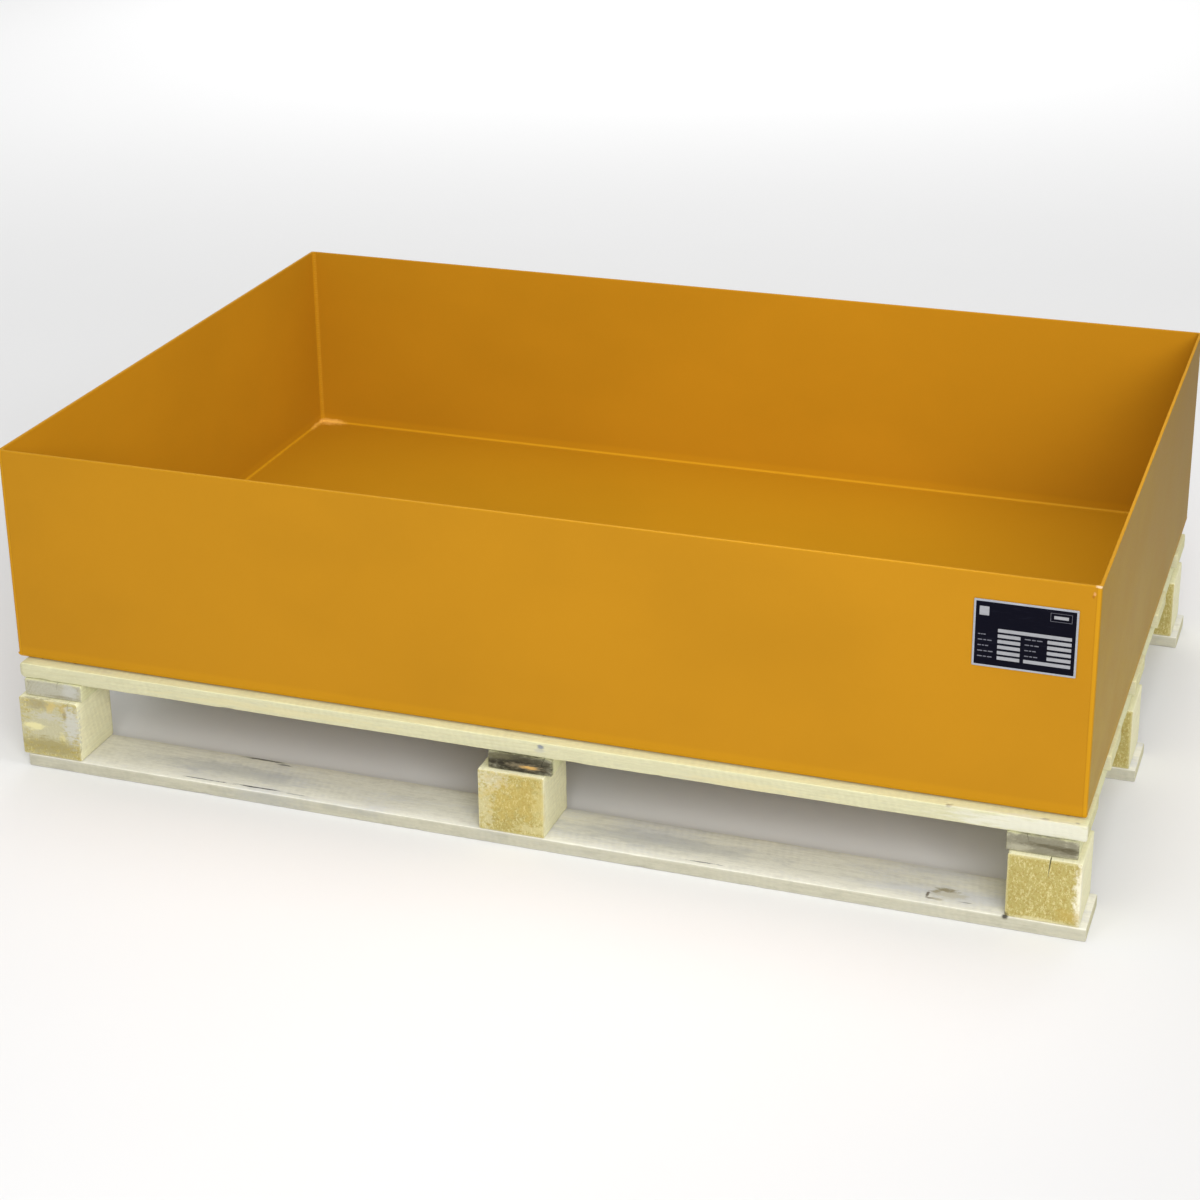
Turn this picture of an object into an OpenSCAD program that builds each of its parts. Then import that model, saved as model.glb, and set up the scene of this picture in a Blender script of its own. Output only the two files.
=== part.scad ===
// Spill containment pallet: a folded and welded sheet-steel sump tray that stands loose on a
// light one-way pallet of five deck boards, three cross boards, nine blocks and three runners.
// Millimetres. X runs along the long side, -Y is the front with the nameplate, +Z is up.
// The origin is on the ground under the middle of the whole object.

/* [Tray] */
// Outside length of the tray
tray_len = 1200; // [800:10:1400]
// Outside depth of the tray
tray_depth = 800; // [650:10:1000]
// Height of the tray's walls, floor included
tray_h = 250; // [150:5:400]
// Thickness of the steel sheet
sheet_t = 3; // [2:0.5:4]
// Outside radius of the bends between floor and walls
bend_r = 6; // [5:0.5:12]
// Length of wall taken up by each corner weld
weld_leg = 5; // [4.5:0.5:8]
// Leg of the fillet weld inside each corner
fillet_leg = 4; // [2:0.5:6]
// How far the tray reaches past the pallet's left end
tray_overhang = 7; // [0:1:30]
// How far the tray's front wall stands back from the block fronts
tray_setback = 20; // [0:1:40]
// Gap under the tray that keeps the two bodies apart
tray_gap = 0.3; // [0.2:0.1:1]

/* [Nameplate] */
// Width of the nameplate
plate_w = 101; // [60:1:160]
// Height of the nameplate
plate_h = 71; // [40:1:110]
// Thickness of the nameplate
plate_t = 0.8; // [0.5:0.1:2]
// Corner radius of the nameplate
plate_r = 1; // [0.5:0.5:5]
// Thickness of the adhesive pad behind it
pad_t = 0.5; // [0.3:0.1:1]
// Rim of the plate that the adhesive pad leaves free
pad_margin = 2; // [1:0.5:6]
// Distance from the nameplate to the tray's right end
plate_right = 20; // [10:1:100]
// Distance from the nameplate to the tray's rim
plate_top = 27; // [10:1:60]

/* [Pallet] */
// Length of the pallet over its blocks
pallet_len = 1195; // [1000:5:1400]
// Depth of the pallet
pallet_depth = 780; // [700:10:1000]
// Length of the deck boards
deck_len = 1197; // [980:1:1400]
// Width of a deck board
deck_w = 72; // [60:1:90]
// Thickness of a deck board
deck_t = 18; // [15:1:25]
// Distance between the four rear deck boards, edge to edge
deck_pitch = 182; // [150:1:190]
// How far the front deck board stands back from the block fronts
deck_inset = 8; // [0:1:20]
// Width of a cross board
cross_w = 72; // [60:1:90]
// Thickness of a cross board
cross_t = 20; // [15:1:25]
// How far the cross boards stand in from the pallet's edges
cross_inset = 6; // [0:1:20]
// How far the middle cross board lies to the right
cross_shift = 5; // [-10:1:10]

/* [Blocks and runners] */
// Length of a block along the pallet
block_len = 75; // [70:1:100]
// Depth of a block
block_depth = 72; // [68:1:100]
// Height of a block
block_h = 72; // [60:1:100]
// How far the middle column of blocks lies to the right
column_shift = -4; // [-20:1:20]
// How far the middle row of blocks lies to the back
row_shift = -8; // [-20:1:20]
// Length of a runner
runner_len = 1196; // [980:2:1400]
// How far the runners lie to the right
runner_shift = 6.5; // [-20:0.5:20]
// Thickness of a runner
runner_t = 15; // [12:1:25]

/* [Nails] */
// Diameter of a nail's shank
nail_d = 3; // [2:0.1:4]
// Diameter of a nail's head
head_d = 7; // [6:0.5:9]
// Thickness of a nail's head
head_t = 1; // [0.8:0.1:2]
// How deep the heads are driven below the wood's surface
head_sink = 1; // [0.5:0.1:2]
// Length of the nails that reach from the deck into the blocks
long_nail = 78; // [60:1:90]
// Length of the nails between the blocks
short_nail = 34; // [25:1:36]
// Length of the nails through the runners
runner_nail = 48; // [35:1:60]
// Clearance round a shank
nail_gap = 0.1; // [0.05:0.05:0.3]

/* [Hidden] */
$fn = 48;
eps = 1;

// Heights, from the ground up
block_z = runner_t;
cross_z = block_z + block_h;
deck_z = cross_z + cross_t;
pallet_h = deck_z + deck_t;
tray_z = pallet_h + tray_gap;

// Places in plan
pallet_reach = pallet_len / 2 + max(pallet_len / 2, deck_len / 2, runner_shift + runner_len / 2);
full_len = max(pallet_reach, tray_len - tray_overhang) + tray_overhang;
full_depth = max(pallet_depth, tray_depth + tray_setback);
tray_x = -full_len / 2;
tray_y = -full_depth / 2 + tray_setback;
pallet_x = tray_x + tray_overhang;
pallet_y = -full_depth / 2;
pallet_back = pallet_y + pallet_depth;
middle_x = pallet_x + pallet_len / 2;
middle_y = pallet_y + pallet_depth / 2;

// Centres of the three columns and the three rows of blocks
column_x = [pallet_x + block_len / 2, middle_x + column_shift, pallet_x + pallet_len - block_len / 2];
row_y = [pallet_y + block_depth / 2, middle_y + row_shift, pallet_back - block_depth / 2];

// Centres of the cross boards and of the deck boards
cross_x = [
    pallet_x + cross_inset + cross_w / 2,
    middle_x + cross_shift,
    pallet_x + pallet_len - cross_inset - cross_w / 2
];
last_deck_y = pallet_back - deck_w / 2;
deck_y = [
    pallet_y + deck_inset + deck_w / 2,
    last_deck_y - 3 * deck_pitch,
    last_deck_y - 2 * deck_pitch,
    last_deck_y - deck_pitch,
    last_deck_y
];

// Nails: three at each block, two where a deck board crosses between blocks
nail_x = cross_w * 0.29;
nail_y = deck_w * 0.22;
long_spots = [[-nail_x, -nail_y], [nail_x, -nail_y], [0, nail_y]];
short_spots = [[-nail_x, nail_y / 2], [nail_x, -nail_y / 2]];
runner_spots = [[-nail_x, nail_y], [nail_x, nail_y], [0, -nail_y]];
block_boards = [0, 2, 4];
free_boards = [1, 3];

// A nail that points down, with the top of its head at the origin
module nail(length) {
    translate([0, 0, -head_t]) cylinder(d = head_d, h = head_t);
    translate([0, 0, -length]) cylinder(d = nail_d, h = length - head_t / 2);
}

// The hole that such a nail leaves, open at the wood's surface
module nail_hole(length) {
    translate([0, 0, -head_t]) cylinder(d = head_d + 2 * nail_gap, h = head_t + head_sink + eps);
    translate([0, 0, -length]) cylinder(d = nail_d + 2 * nail_gap, h = length);
}

// Its children at every nail that goes from the deck into a block
module at_long_nails() {
    for (x = cross_x, b = block_boards, spot = long_spots)
        translate([x + spot[0], deck_y[b] + spot[1], pallet_h - head_sink]) children();
}

// Its children at every nail between the blocks
module at_short_nails() {
    for (x = cross_x, b = free_boards, spot = short_spots)
        translate([x + spot[0], deck_y[b] + spot[1], pallet_h - head_sink]) children();
}

// Its children, turned upwards, at every nail that goes from a runner into a block
module at_runner_nails() {
    for (x = column_x, y = row_y, spot = runner_spots)
        translate([x + spot[0], y + spot[1], head_sink]) mirror([0, 0, 1]) children();
}

// A piece of sawn wood round a centre in plan, standing on z
module timber(x, y, z, size) {
    translate([x - size[0] / 2, y - size[1] / 2, z]) cube(size);
}

module deck_board(i) {
    color("palegoldenrod") difference() {
        timber(middle_x, deck_y[i], deck_z, [deck_len, deck_w, deck_t]);
        at_long_nails() nail_hole(long_nail);
        at_short_nails() nail_hole(short_nail);
    }
}

module cross_board(i) {
    color("tan") difference() {
        timber(cross_x[i], middle_y, cross_z, [cross_w, pallet_depth - 2 * cross_inset, cross_t]);
        at_long_nails() nail_hole(long_nail);
        at_short_nails() nail_hole(short_nail);
    }
}

module block(row, column) {
    color("burlywood") difference() {
        timber(column_x[column], row_y[row], block_z, [block_len, block_depth, block_h]);
        at_long_nails() nail_hole(long_nail);
        at_runner_nails() nail_hole(runner_nail);
    }
}

module runner(row) {
    color("wheat") difference() {
        timber(middle_x + runner_shift, row_y[row], 0, [runner_len, block_depth, runner_t]);
        at_runner_nails() nail_hole(runner_nail);
    }
}

module long_nails() {
    color("slategray") at_long_nails() nail(long_nail);
}

module short_nails() {
    color("slategray") at_short_nails() nail(short_nail);
}

module runner_nails() {
    color("slategray") at_runner_nails() nail(runner_nail);
}

// Section through a trough: upright sides and two round bottom corners
module trough(width, height, r) {
    translate([0, r]) square([width, height - r]);
    translate([r, 0]) square([width - 2 * r, r + eps]);
    for (x = [r, width - r]) translate([x, r]) circle(r);
}

// A box with round bottom edges on all four sides, mitred at the corners
module folded_box(length, depth, height, r) {
    intersection() {
        translate([0, depth, 0]) rotate([90, 0, 0]) linear_extrude(depth) trough(length, height, r);
        rotate([90, 0, 90]) linear_extrude(length) trough(depth, height, r);
    }
}

// Its children in the tray's frame, at the corner picked by side and end, each 0 or 1
module at_corner(side, end) {
    translate([tray_x + end * tray_len, tray_y + side * tray_depth, tray_z])
        mirror([end, 0, 0]) mirror([0, side, 0]) children();
}

// Floor and four walls, folded from one sheet and open at the corners for the welds
module tray_pan() {
    color("orange") difference() {
        translate([tray_x, tray_y, tray_z]) folded_box(tray_len, tray_depth, tray_h, bend_r);
        translate([tray_x + sheet_t, tray_y + sheet_t, tray_z + sheet_t])
            folded_box(tray_len - 2 * sheet_t, tray_depth - 2 * sheet_t, tray_h, bend_r - sheet_t);
        for (side = [0, 1], end = [0, 1])
            at_corner(side, end) translate([-eps, -eps, bend_r]) cube([weld_leg + eps, weld_leg + eps, tray_h]);
    }
}

// Section of a corner weld: round outside, a hollow fillet inside
module weld_section() {
    difference() {
        union() {
            translate([sheet_t, 0]) square([weld_leg - sheet_t, sheet_t]);
            translate([0, sheet_t]) square([sheet_t, weld_leg - sheet_t]);
            intersection() {
                square(sheet_t);
                translate([sheet_t, sheet_t]) circle(sheet_t);
            }
            translate([sheet_t, sheet_t]) square(fillet_leg);
        }
        translate([sheet_t + fillet_leg, sheet_t + fillet_leg]) circle(fillet_leg);
    }
}

module corner_weld(side, end) {
    color("goldenrod") at_corner(side, end)
        translate([0, 0, bend_r]) linear_extrude(tray_h - bend_r) weld_section();
}

// A rounded rectangle that stands upright and faces the front, centred on x and z
module upright_plate(width, height, thick, r) {
    rotate([90, 0, 0]) linear_extrude(thick) {
        square([width - 2 * r, height], center = true);
        square([width, height - 2 * r], center = true);
        for (sx = [-1, 1], sz = [-1, 1])
            translate([sx * (width / 2 - r), sz * (height / 2 - r)]) circle(r);
    }
}

plate_x = tray_x + tray_len - plate_right - plate_w / 2;
plate_z = tray_z + tray_h - plate_top - plate_h / 2;

module nameplate_pad() {
    color("dimgray") translate([plate_x, tray_y, plate_z])
        upright_plate(plate_w - 2 * pad_margin, plate_h - 2 * pad_margin, pad_t, plate_r);
}

module nameplate() {
    color("black") translate([plate_x, tray_y - pad_t, plate_z])
        upright_plate(plate_w, plate_h, plate_t, plate_r);
}

deck_board(0);  // deck_board_1
deck_board(1);  // deck_board_2
deck_board(2);  // deck_board_3
deck_board(3);  // deck_board_4
deck_board(4);  // deck_board_5
cross_board(0);  // cross_board_left
cross_board(1);  // cross_board_middle
cross_board(2);  // cross_board_right
block(0, 0);  // block_front_left
block(0, 1);  // block_front_middle
block(0, 2);  // block_front_right
block(1, 0);  // block_middle_left
block(1, 1);  // block_middle_middle
block(1, 2);  // block_middle_right
block(2, 0);  // block_back_left
block(2, 1);  // block_back_middle
block(2, 2);  // block_back_right
runner(0);  // runner_front
runner(1);  // runner_middle
runner(2);  // runner_back
long_nails();
short_nails();
runner_nails();
tray_pan();
corner_weld(0, 0);  // weld_front_left
corner_weld(0, 1);  // weld_front_right
corner_weld(1, 0);  // weld_back_left
corner_weld(1, 1);  // weld_back_right
nameplate_pad();
nameplate();
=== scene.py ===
"""Looks of a spill containment pallet: a painted sump tray that stands on a light wooden pallet.

Sizes in the classes are millimetres in the shared frame: X along the long side, -Y the front, Z up.
Meshes are written in metres.
"""

import logging
import math
import random
from dataclasses import dataclass, field
from enum import Enum
from typing import Any, Mapping, Sequence, Union

import bpy
import bmesh
from mathutils import Euler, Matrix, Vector, noise


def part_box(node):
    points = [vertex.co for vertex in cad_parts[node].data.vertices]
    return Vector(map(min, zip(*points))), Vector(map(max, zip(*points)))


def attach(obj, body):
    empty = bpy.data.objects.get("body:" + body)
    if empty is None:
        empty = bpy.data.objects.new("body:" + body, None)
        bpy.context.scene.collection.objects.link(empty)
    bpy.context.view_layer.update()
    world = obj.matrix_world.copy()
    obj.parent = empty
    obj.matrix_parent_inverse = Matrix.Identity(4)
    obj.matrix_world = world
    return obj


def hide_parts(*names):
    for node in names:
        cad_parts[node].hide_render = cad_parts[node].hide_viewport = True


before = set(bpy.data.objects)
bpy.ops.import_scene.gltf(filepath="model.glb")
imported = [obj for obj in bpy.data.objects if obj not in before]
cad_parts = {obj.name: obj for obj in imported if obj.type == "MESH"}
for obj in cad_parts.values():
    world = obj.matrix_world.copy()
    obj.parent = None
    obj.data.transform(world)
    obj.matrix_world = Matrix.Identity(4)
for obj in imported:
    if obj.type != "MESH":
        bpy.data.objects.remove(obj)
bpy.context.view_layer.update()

Triple = tuple[float, float, float]
Colour = tuple[float, float, float]
Span = tuple[float, float, float, float]
Faces = list[tuple[int, ...]]
Number = Union["Wire", float]

MM = 0.001
COLUMNS = ("left", "middle", "right")
ROWS = ("front", "middle", "back")
log = logging.getLogger("spill_pallet")


def tint(red: int, green: int, blue: int) -> Colour:
    """Turns a colour as seen on a screen into the linear colour that shaders use.

    Args:
        red: Red, 0 to 255.
        green: Green, 0 to 255.
        blue: Blue, 0 to 255.

    Returns:
        The linear colour.
    """

    def straighten(value: float) -> float:
        """Undoes the screen's curve for one channel."""
        return value / 12.92 if value <= 0.04045 else ((value + 0.055) / 1.055) ** 2.4

    return (straighten(red / 255), straighten(green / 255), straighten(blue / 255))


# ---------------------------------------------------------------- shader maths


class Wire:
    """An output socket that takes part in arithmetic, which adds Math nodes to its graph."""

    def __init__(self, graph: "Graph", socket: bpy.types.NodeSocket) -> None:
        """Keeps the graph and the socket."""
        self.graph = graph
        self.socket = socket

    def sibling(self, output: Union[int, str]) -> "Wire":
        """Returns another output of the same node."""
        return Wire(self.graph, self.socket.node.outputs[output])

    def math(self, operation: str, *others: Number) -> "Wire":
        """Adds a Math node with this wire first and the others after it."""
        return self.graph.math(operation, self, *others)

    def __add__(self, other: Number) -> "Wire":
        """self + other."""
        return self.math("ADD", other)

    def __radd__(self, other: Number) -> "Wire":
        """other + self."""
        return self.math("ADD", other)

    def __sub__(self, other: Number) -> "Wire":
        """self - other."""
        return self.math("SUBTRACT", other)

    def __rsub__(self, other: Number) -> "Wire":
        """other - self."""
        return self.graph.math("SUBTRACT", other, self)

    def __mul__(self, other: Number) -> "Wire":
        """self * other."""
        return self.math("MULTIPLY", other)

    def __rmul__(self, other: Number) -> "Wire":
        """other * self."""
        return self.math("MULTIPLY", other)

    def __truediv__(self, other: Number) -> "Wire":
        """self / other."""
        return self.math("DIVIDE", other)

    def __rtruediv__(self, other: Number) -> "Wire":
        """other / self."""
        return self.graph.math("DIVIDE", other, self)

    def __abs__(self) -> "Wire":
        """abs(self)."""
        return self.math("ABSOLUTE")


class Graph:
    """One material's node tree, with short ways to add what the finishes need."""

    def __init__(self, name: str) -> None:
        """Makes the material with an empty tree.

        Args:
            name: The material's name.
        """
        self.material = bpy.data.materials.new(name)
        self.material.use_nodes = True
        self.tree = self.material.node_tree
        self.tree.nodes.clear()

    def node(
        self,
        kind: str,
        settings: Mapping[str, Any],
        sockets: Mapping[Union[int, str], Any],
        output: Union[int, str] = 0,
    ) -> Wire:
        """Adds any node.

        Args:
            kind: The node's type name.
            settings: The node's properties, set first. "stops" holds a ramp's (place, colour) pairs.
            sockets: Values or wires for the inputs, by number or name.
            output: The output to return.

        Returns:
            That output.
        """
        made = self.tree.nodes.new(kind)
        for key, value in settings.items():
            if key == "stops":
                self._set_stops(made.color_ramp, value)
            else:
                setattr(made, key, value)
        for key, value in sockets.items():
            self._feed(made.inputs[key], value)
        return Wire(self, made.outputs[output])

    def _set_stops(self, ramp: bpy.types.ColorRamp, stops: Sequence[tuple[float, Colour]]) -> None:
        """Gives a ramp exactly these stops.

        Args:
            ramp: The ramp.
            stops: Its places, each with a colour.
        """
        while len(ramp.elements) < len(stops):
            ramp.elements.new(1.0)
        for element, (place, colour) in zip(ramp.elements, stops):
            element.position = place
            element.color = (*colour, 1.0)

    def _feed(self, socket: bpy.types.NodeSocket, value: Any) -> None:
        """Links a wire to an input, or sets the input's own value.

        Args:
            socket: The input.
            value: A wire, a number, a vector or a colour.
        """
        if isinstance(value, Wire):
            self.tree.links.new(value.socket, socket)
        elif socket.type == "RGBA":
            socket.default_value = (*value[:3], 1.0)
        else:
            socket.default_value = value

    def math(self, operation: str, *terms: Number) -> Wire:
        """Adds a Math node on wires and numbers."""
        return self.node("ShaderNodeMath", {"operation": operation}, dict(enumerate(terms)))

    def place(self) -> Wire:
        """Returns the point on the piece in millimetres, in the shared frame."""
        point = self.node("ShaderNodeTexCoord", {}, {}, "Object")
        return self.vector("SCALE", point, Scale=1.0 / MM)

    def facing(self) -> Wire:
        """Returns the surface's own direction."""
        return self.node("ShaderNodeTexCoord", {}, {}, "Normal")

    def vector(self, operation: str, *terms: Any, **named: Any) -> Wire:
        """Adds a Vector Math node.

        Args:
            operation: The node's operation.
            terms: Vectors, as wires or triples.
            named: Inputs by name, such as Scale.

        Returns:
            The vector, or the number for LENGTH.
        """
        output = "Value" if operation == "LENGTH" else "Vector"
        sockets = {**dict(enumerate(terms)), **named}
        return self.node("ShaderNodeVectorMath", {"operation": operation}, sockets, output)

    def parts(self, vector: Wire) -> tuple[Wire, Wire, Wire]:
        """Splits a vector in its three numbers."""
        first = self.node("ShaderNodeSeparateXYZ", {}, {0: vector})
        return first, first.sibling(1), first.sibling(2)

    def join(self, first: Number, second: Number, third: Number) -> Wire:
        """Makes a vector of three numbers."""
        return self.node("ShaderNodeCombineXYZ", {}, {0: first, 1: second, 2: third})

    def cloud(self, point: Wire, stretch: Triple, detail: float = 2.0, rough: float = 0.5) -> Wire:
        """Returns soft noise around 0.5.

        Args:
            point: Where to read it.
            stretch: Cycles per millimetre along each axis.
            detail: The number of finer layers.
            rough: How strong those are.

        Returns:
            The noise.
        """
        where = self.vector("MULTIPLY", point, stretch)
        sockets = {"Vector": where, "Scale": 1.0, "Detail": detail, "Roughness": rough}
        return self.node("ShaderNodeTexNoise", {}, sockets)

    def ease(self, value: Number, start: float, end: float, low: float = 0.0, high: float = 1.0) -> Wire:
        """Turns a value smoothly from low at start to high at end."""
        sockets = {"Value": value, "From Min": start, "From Max": end, "To Min": low, "To Max": high}
        return self.node("ShaderNodeMapRange", {"interpolation_type": "SMOOTHSTEP"}, sockets)

    def blend(self, share: Number, first: Any, second: Any, how: str = "MIX") -> Wire:
        """Mixes two colours.

        Args:
            share: The second colour's share.
            first: A colour or wire.
            second: A colour or wire.
            how: The Mix node's blend type.

        Returns:
            The mixed colour.
        """
        settings = {"data_type": "RGBA", "blend_type": how}
        return self.node("ShaderNodeMix", settings, {0: share, 6: first, 7: second}, 2)

    def shade(self, colour: Union[Wire, Colour], light: Number) -> Wire:
        """Makes a colour lighter or darker by a factor."""
        return self.vector("SCALE", colour, Scale=light)

    def surface(self, colour: Wire, rough: Number, height: Wire, **fixed: Any) -> bpy.types.Material:
        """Ends the tree in one Principled shader.

        Args:
            colour: The base colour.
            rough: The roughness.
            height: The relief in millimetres.
            fixed: Other inputs of the shader by name, with _ for a space.

        Returns:
            The finished material.
        """
        relief = self.node("ShaderNodeBump", {}, {"Height": height, "Distance": MM, "Strength": 1.0})
        sockets = {"Base Color": colour, "Roughness": rough, "Normal": relief}
        sockets.update({key.replace("_", " "): value for key, value in fixed.items()})
        shader = self.node("ShaderNodeBsdfPrincipled", {}, sockets)
        end = self.tree.nodes.new("ShaderNodeOutputMaterial")
        self.tree.links.new(shader.socket, end.inputs["Surface"])
        return self.material


# ---------------------------------------------------------------- mesh helpers


def piece_from(name: str, points: Sequence[Vector], faces: Sequence[Sequence[int]]) -> bpy.types.Object:
    """Makes a closed piece.

    Args:
        name: The piece's name.
        points: Its points in millimetres.
        faces: Its faces, as numbers of points.

    Returns:
        The object, linked to the scene, with its faces turned outwards.
    """
    mesh = bpy.data.meshes.new(name)
    mesh.from_pydata([point * MM for point in points], [], faces)
    solid = bmesh.new()
    solid.from_mesh(mesh)
    bmesh.ops.recalc_face_normals(solid, faces=solid.faces)
    solid.to_mesh(mesh)
    solid.free()
    made = bpy.data.objects.new(name, mesh)
    bpy.context.scene.collection.objects.link(made)
    return made


def soften(piece: bpy.types.Object, angle: float = 32.0) -> None:
    """Shades a piece smoothly, except over edges sharper than the angle in degrees."""
    piece.data.shade_smooth()
    piece.data.set_sharp_from_angle(angle=math.radians(angle))


def carve(piece: bpy.types.Object, cutter: bpy.types.Object) -> None:
    """Cuts solids out of a piece.

    Args:
        piece: The piece.
        cutter: An object with the solids, which is removed.
    """
    cut = piece.modifiers.new("carve", "BOOLEAN")
    cut.operation, cut.object, cut.solver = "DIFFERENCE", cutter, "EXACT"
    evaluated = piece.evaluated_get(bpy.context.evaluated_depsgraph_get())
    whole, carved = piece.data, bpy.data.meshes.new_from_object(evaluated)
    piece.modifiers.clear()
    piece.data = carved
    bpy.data.meshes.remove(whole)
    bpy.data.objects.remove(cutter)


def band(first: int, second: int, count: int) -> Faces:
    """Joins two rings of points with four-sided faces.

    Args:
        first: The number of one ring's first point.
        second: The number of the other ring's first point.
        count: The number of points in each.

    Returns:
        The faces between them.
    """
    return [(first + i, first + (i + 1) % count, second + (i + 1) % count, second + i) for i in range(count)]


def stack(count: int, rings: int, start: int = 0) -> Faces:
    """Joins each ring of points to the next one.

    Args:
        count: The number of points in a ring.
        rings: The number of rings.
        start: The number of the first ring's first point.

    Returns:
        The faces between them.
    """
    firsts = [start + r * count for r in range(rings - 1)]
    return [face for first in firsts for face in band(first, first + count, count)]


def dress(piece: bpy.types.Object, *materials: bpy.types.Material) -> None:
    """Gives a piece materials in place of those it has.

    Args:
        piece: The piece.
        materials: Its new materials, in the order of its slots.
    """
    piece.data.materials.clear()
    for material in materials:
        piece.data.materials.append(material)


def report(piece: bpy.types.Object) -> None:
    """Logs a finished piece with its number of faces."""
    log.info("%s: %d faces", piece.name, len(piece.data.polygons))


# ---------------------------------------------------------------- wood


class Grain(Enum):
    """The direction of a timber's fibres, as the order of (along, across, up) in X, Y, Z."""

    ALONG_X = (0, 1, 2)
    ALONG_Y = (1, 0, 2)


@dataclass(frozen=True)
class Mark:
    """A stain, streak or dirty patch on a timber, a bare patch on paint, or a patch of painted shade or
    glint.

    Attributes:
        centre: Its middle, in millimetres.
        reach: How far it spreads along X, Y and Z.
        colour: Its linear colour.
        strength: How well it covers.
        ragged: How broken its outline is.
        stretch: The size of the breaks, in cycles per millimetre.
    """

    centre: Triple
    reach: Triple
    colour: Colour
    strength: float = 0.8
    ragged: float = 0.8
    stretch: Triple = (0.12, 0.3, 0.3)

    def paint(self, graph: Graph, point: Wire, under: Wire) -> Wire:
        """Lays the mark over a colour.

        Args:
            graph: The graph to add to.
            point: The place in millimetres.
            under: The colour below.

        Returns:
            The colour with the mark.
        """
        away = graph.vector("SUBTRACT", point, self.centre)
        distance = graph.vector("LENGTH", graph.vector("DIVIDE", away, self.reach))
        broken = distance + (graph.cloud(point, self.stretch, 4.0, 0.65) - 0.5) * (3.0 * self.ragged)
        return graph.blend(graph.ease(broken, 1.15, 0.35, 0.0, self.strength), under, self.colour)


@dataclass(frozen=True)
class Knot:
    """A knot on the face of a board.

    Attributes:
        centre: Its middle, in millimetres.
        reach: Its half sizes along X, Y and Z.
        colour: The colour of its heart.
        outer: The colour of its outer wood.
        rim: The colour of the bark line round it.
    """

    centre: Triple
    reach: Triple
    colour: Colour = tint(168, 140, 96)
    outer: Colour = tint(150, 118, 76)
    rim: Colour = tint(92, 68, 40)

    def distance(self, graph: Graph, point: Wire) -> Wire:
        """Measures how far a place is from the knot, with a wavy outline.

        Args:
            graph: The graph to add to.
            point: The place in millimetres.

        Returns:
            0 in the knot's middle and 1 at its rim.
        """
        away = graph.vector("SUBTRACT", point, self.centre)
        plain = graph.vector("LENGTH", graph.vector("DIVIDE", away, self.reach))
        return plain + (graph.cloud(point, (0.09, 0.11, 0.1), 2.0) - 0.5) * 0.5

    def paint(self, graph: Graph, far: Wire, under: Wire) -> Wire:
        """Lays the knot over a colour.

        Args:
            graph: The graph to add to.
            far: The distance from distance().
            under: The colour below.

        Returns:
            The colour with the knot.
        """
        rings = graph.ease((far * 26.0).math("SINE"), -1.0, 1.0, 0.78, 1.08)
        heart = graph.shade(graph.blend(graph.ease(far, 0.2, 0.9), self.colour, self.outer), rings)
        with_heart = graph.blend(graph.ease(far, 1.0, 0.85, 0.0, 0.85), under, heart)
        rim = graph.ease(far, 0.82, 0.98) * graph.ease(far, 1.28, 1.02)
        return graph.blend(rim * 0.8, with_heart, self.rim)


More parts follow.
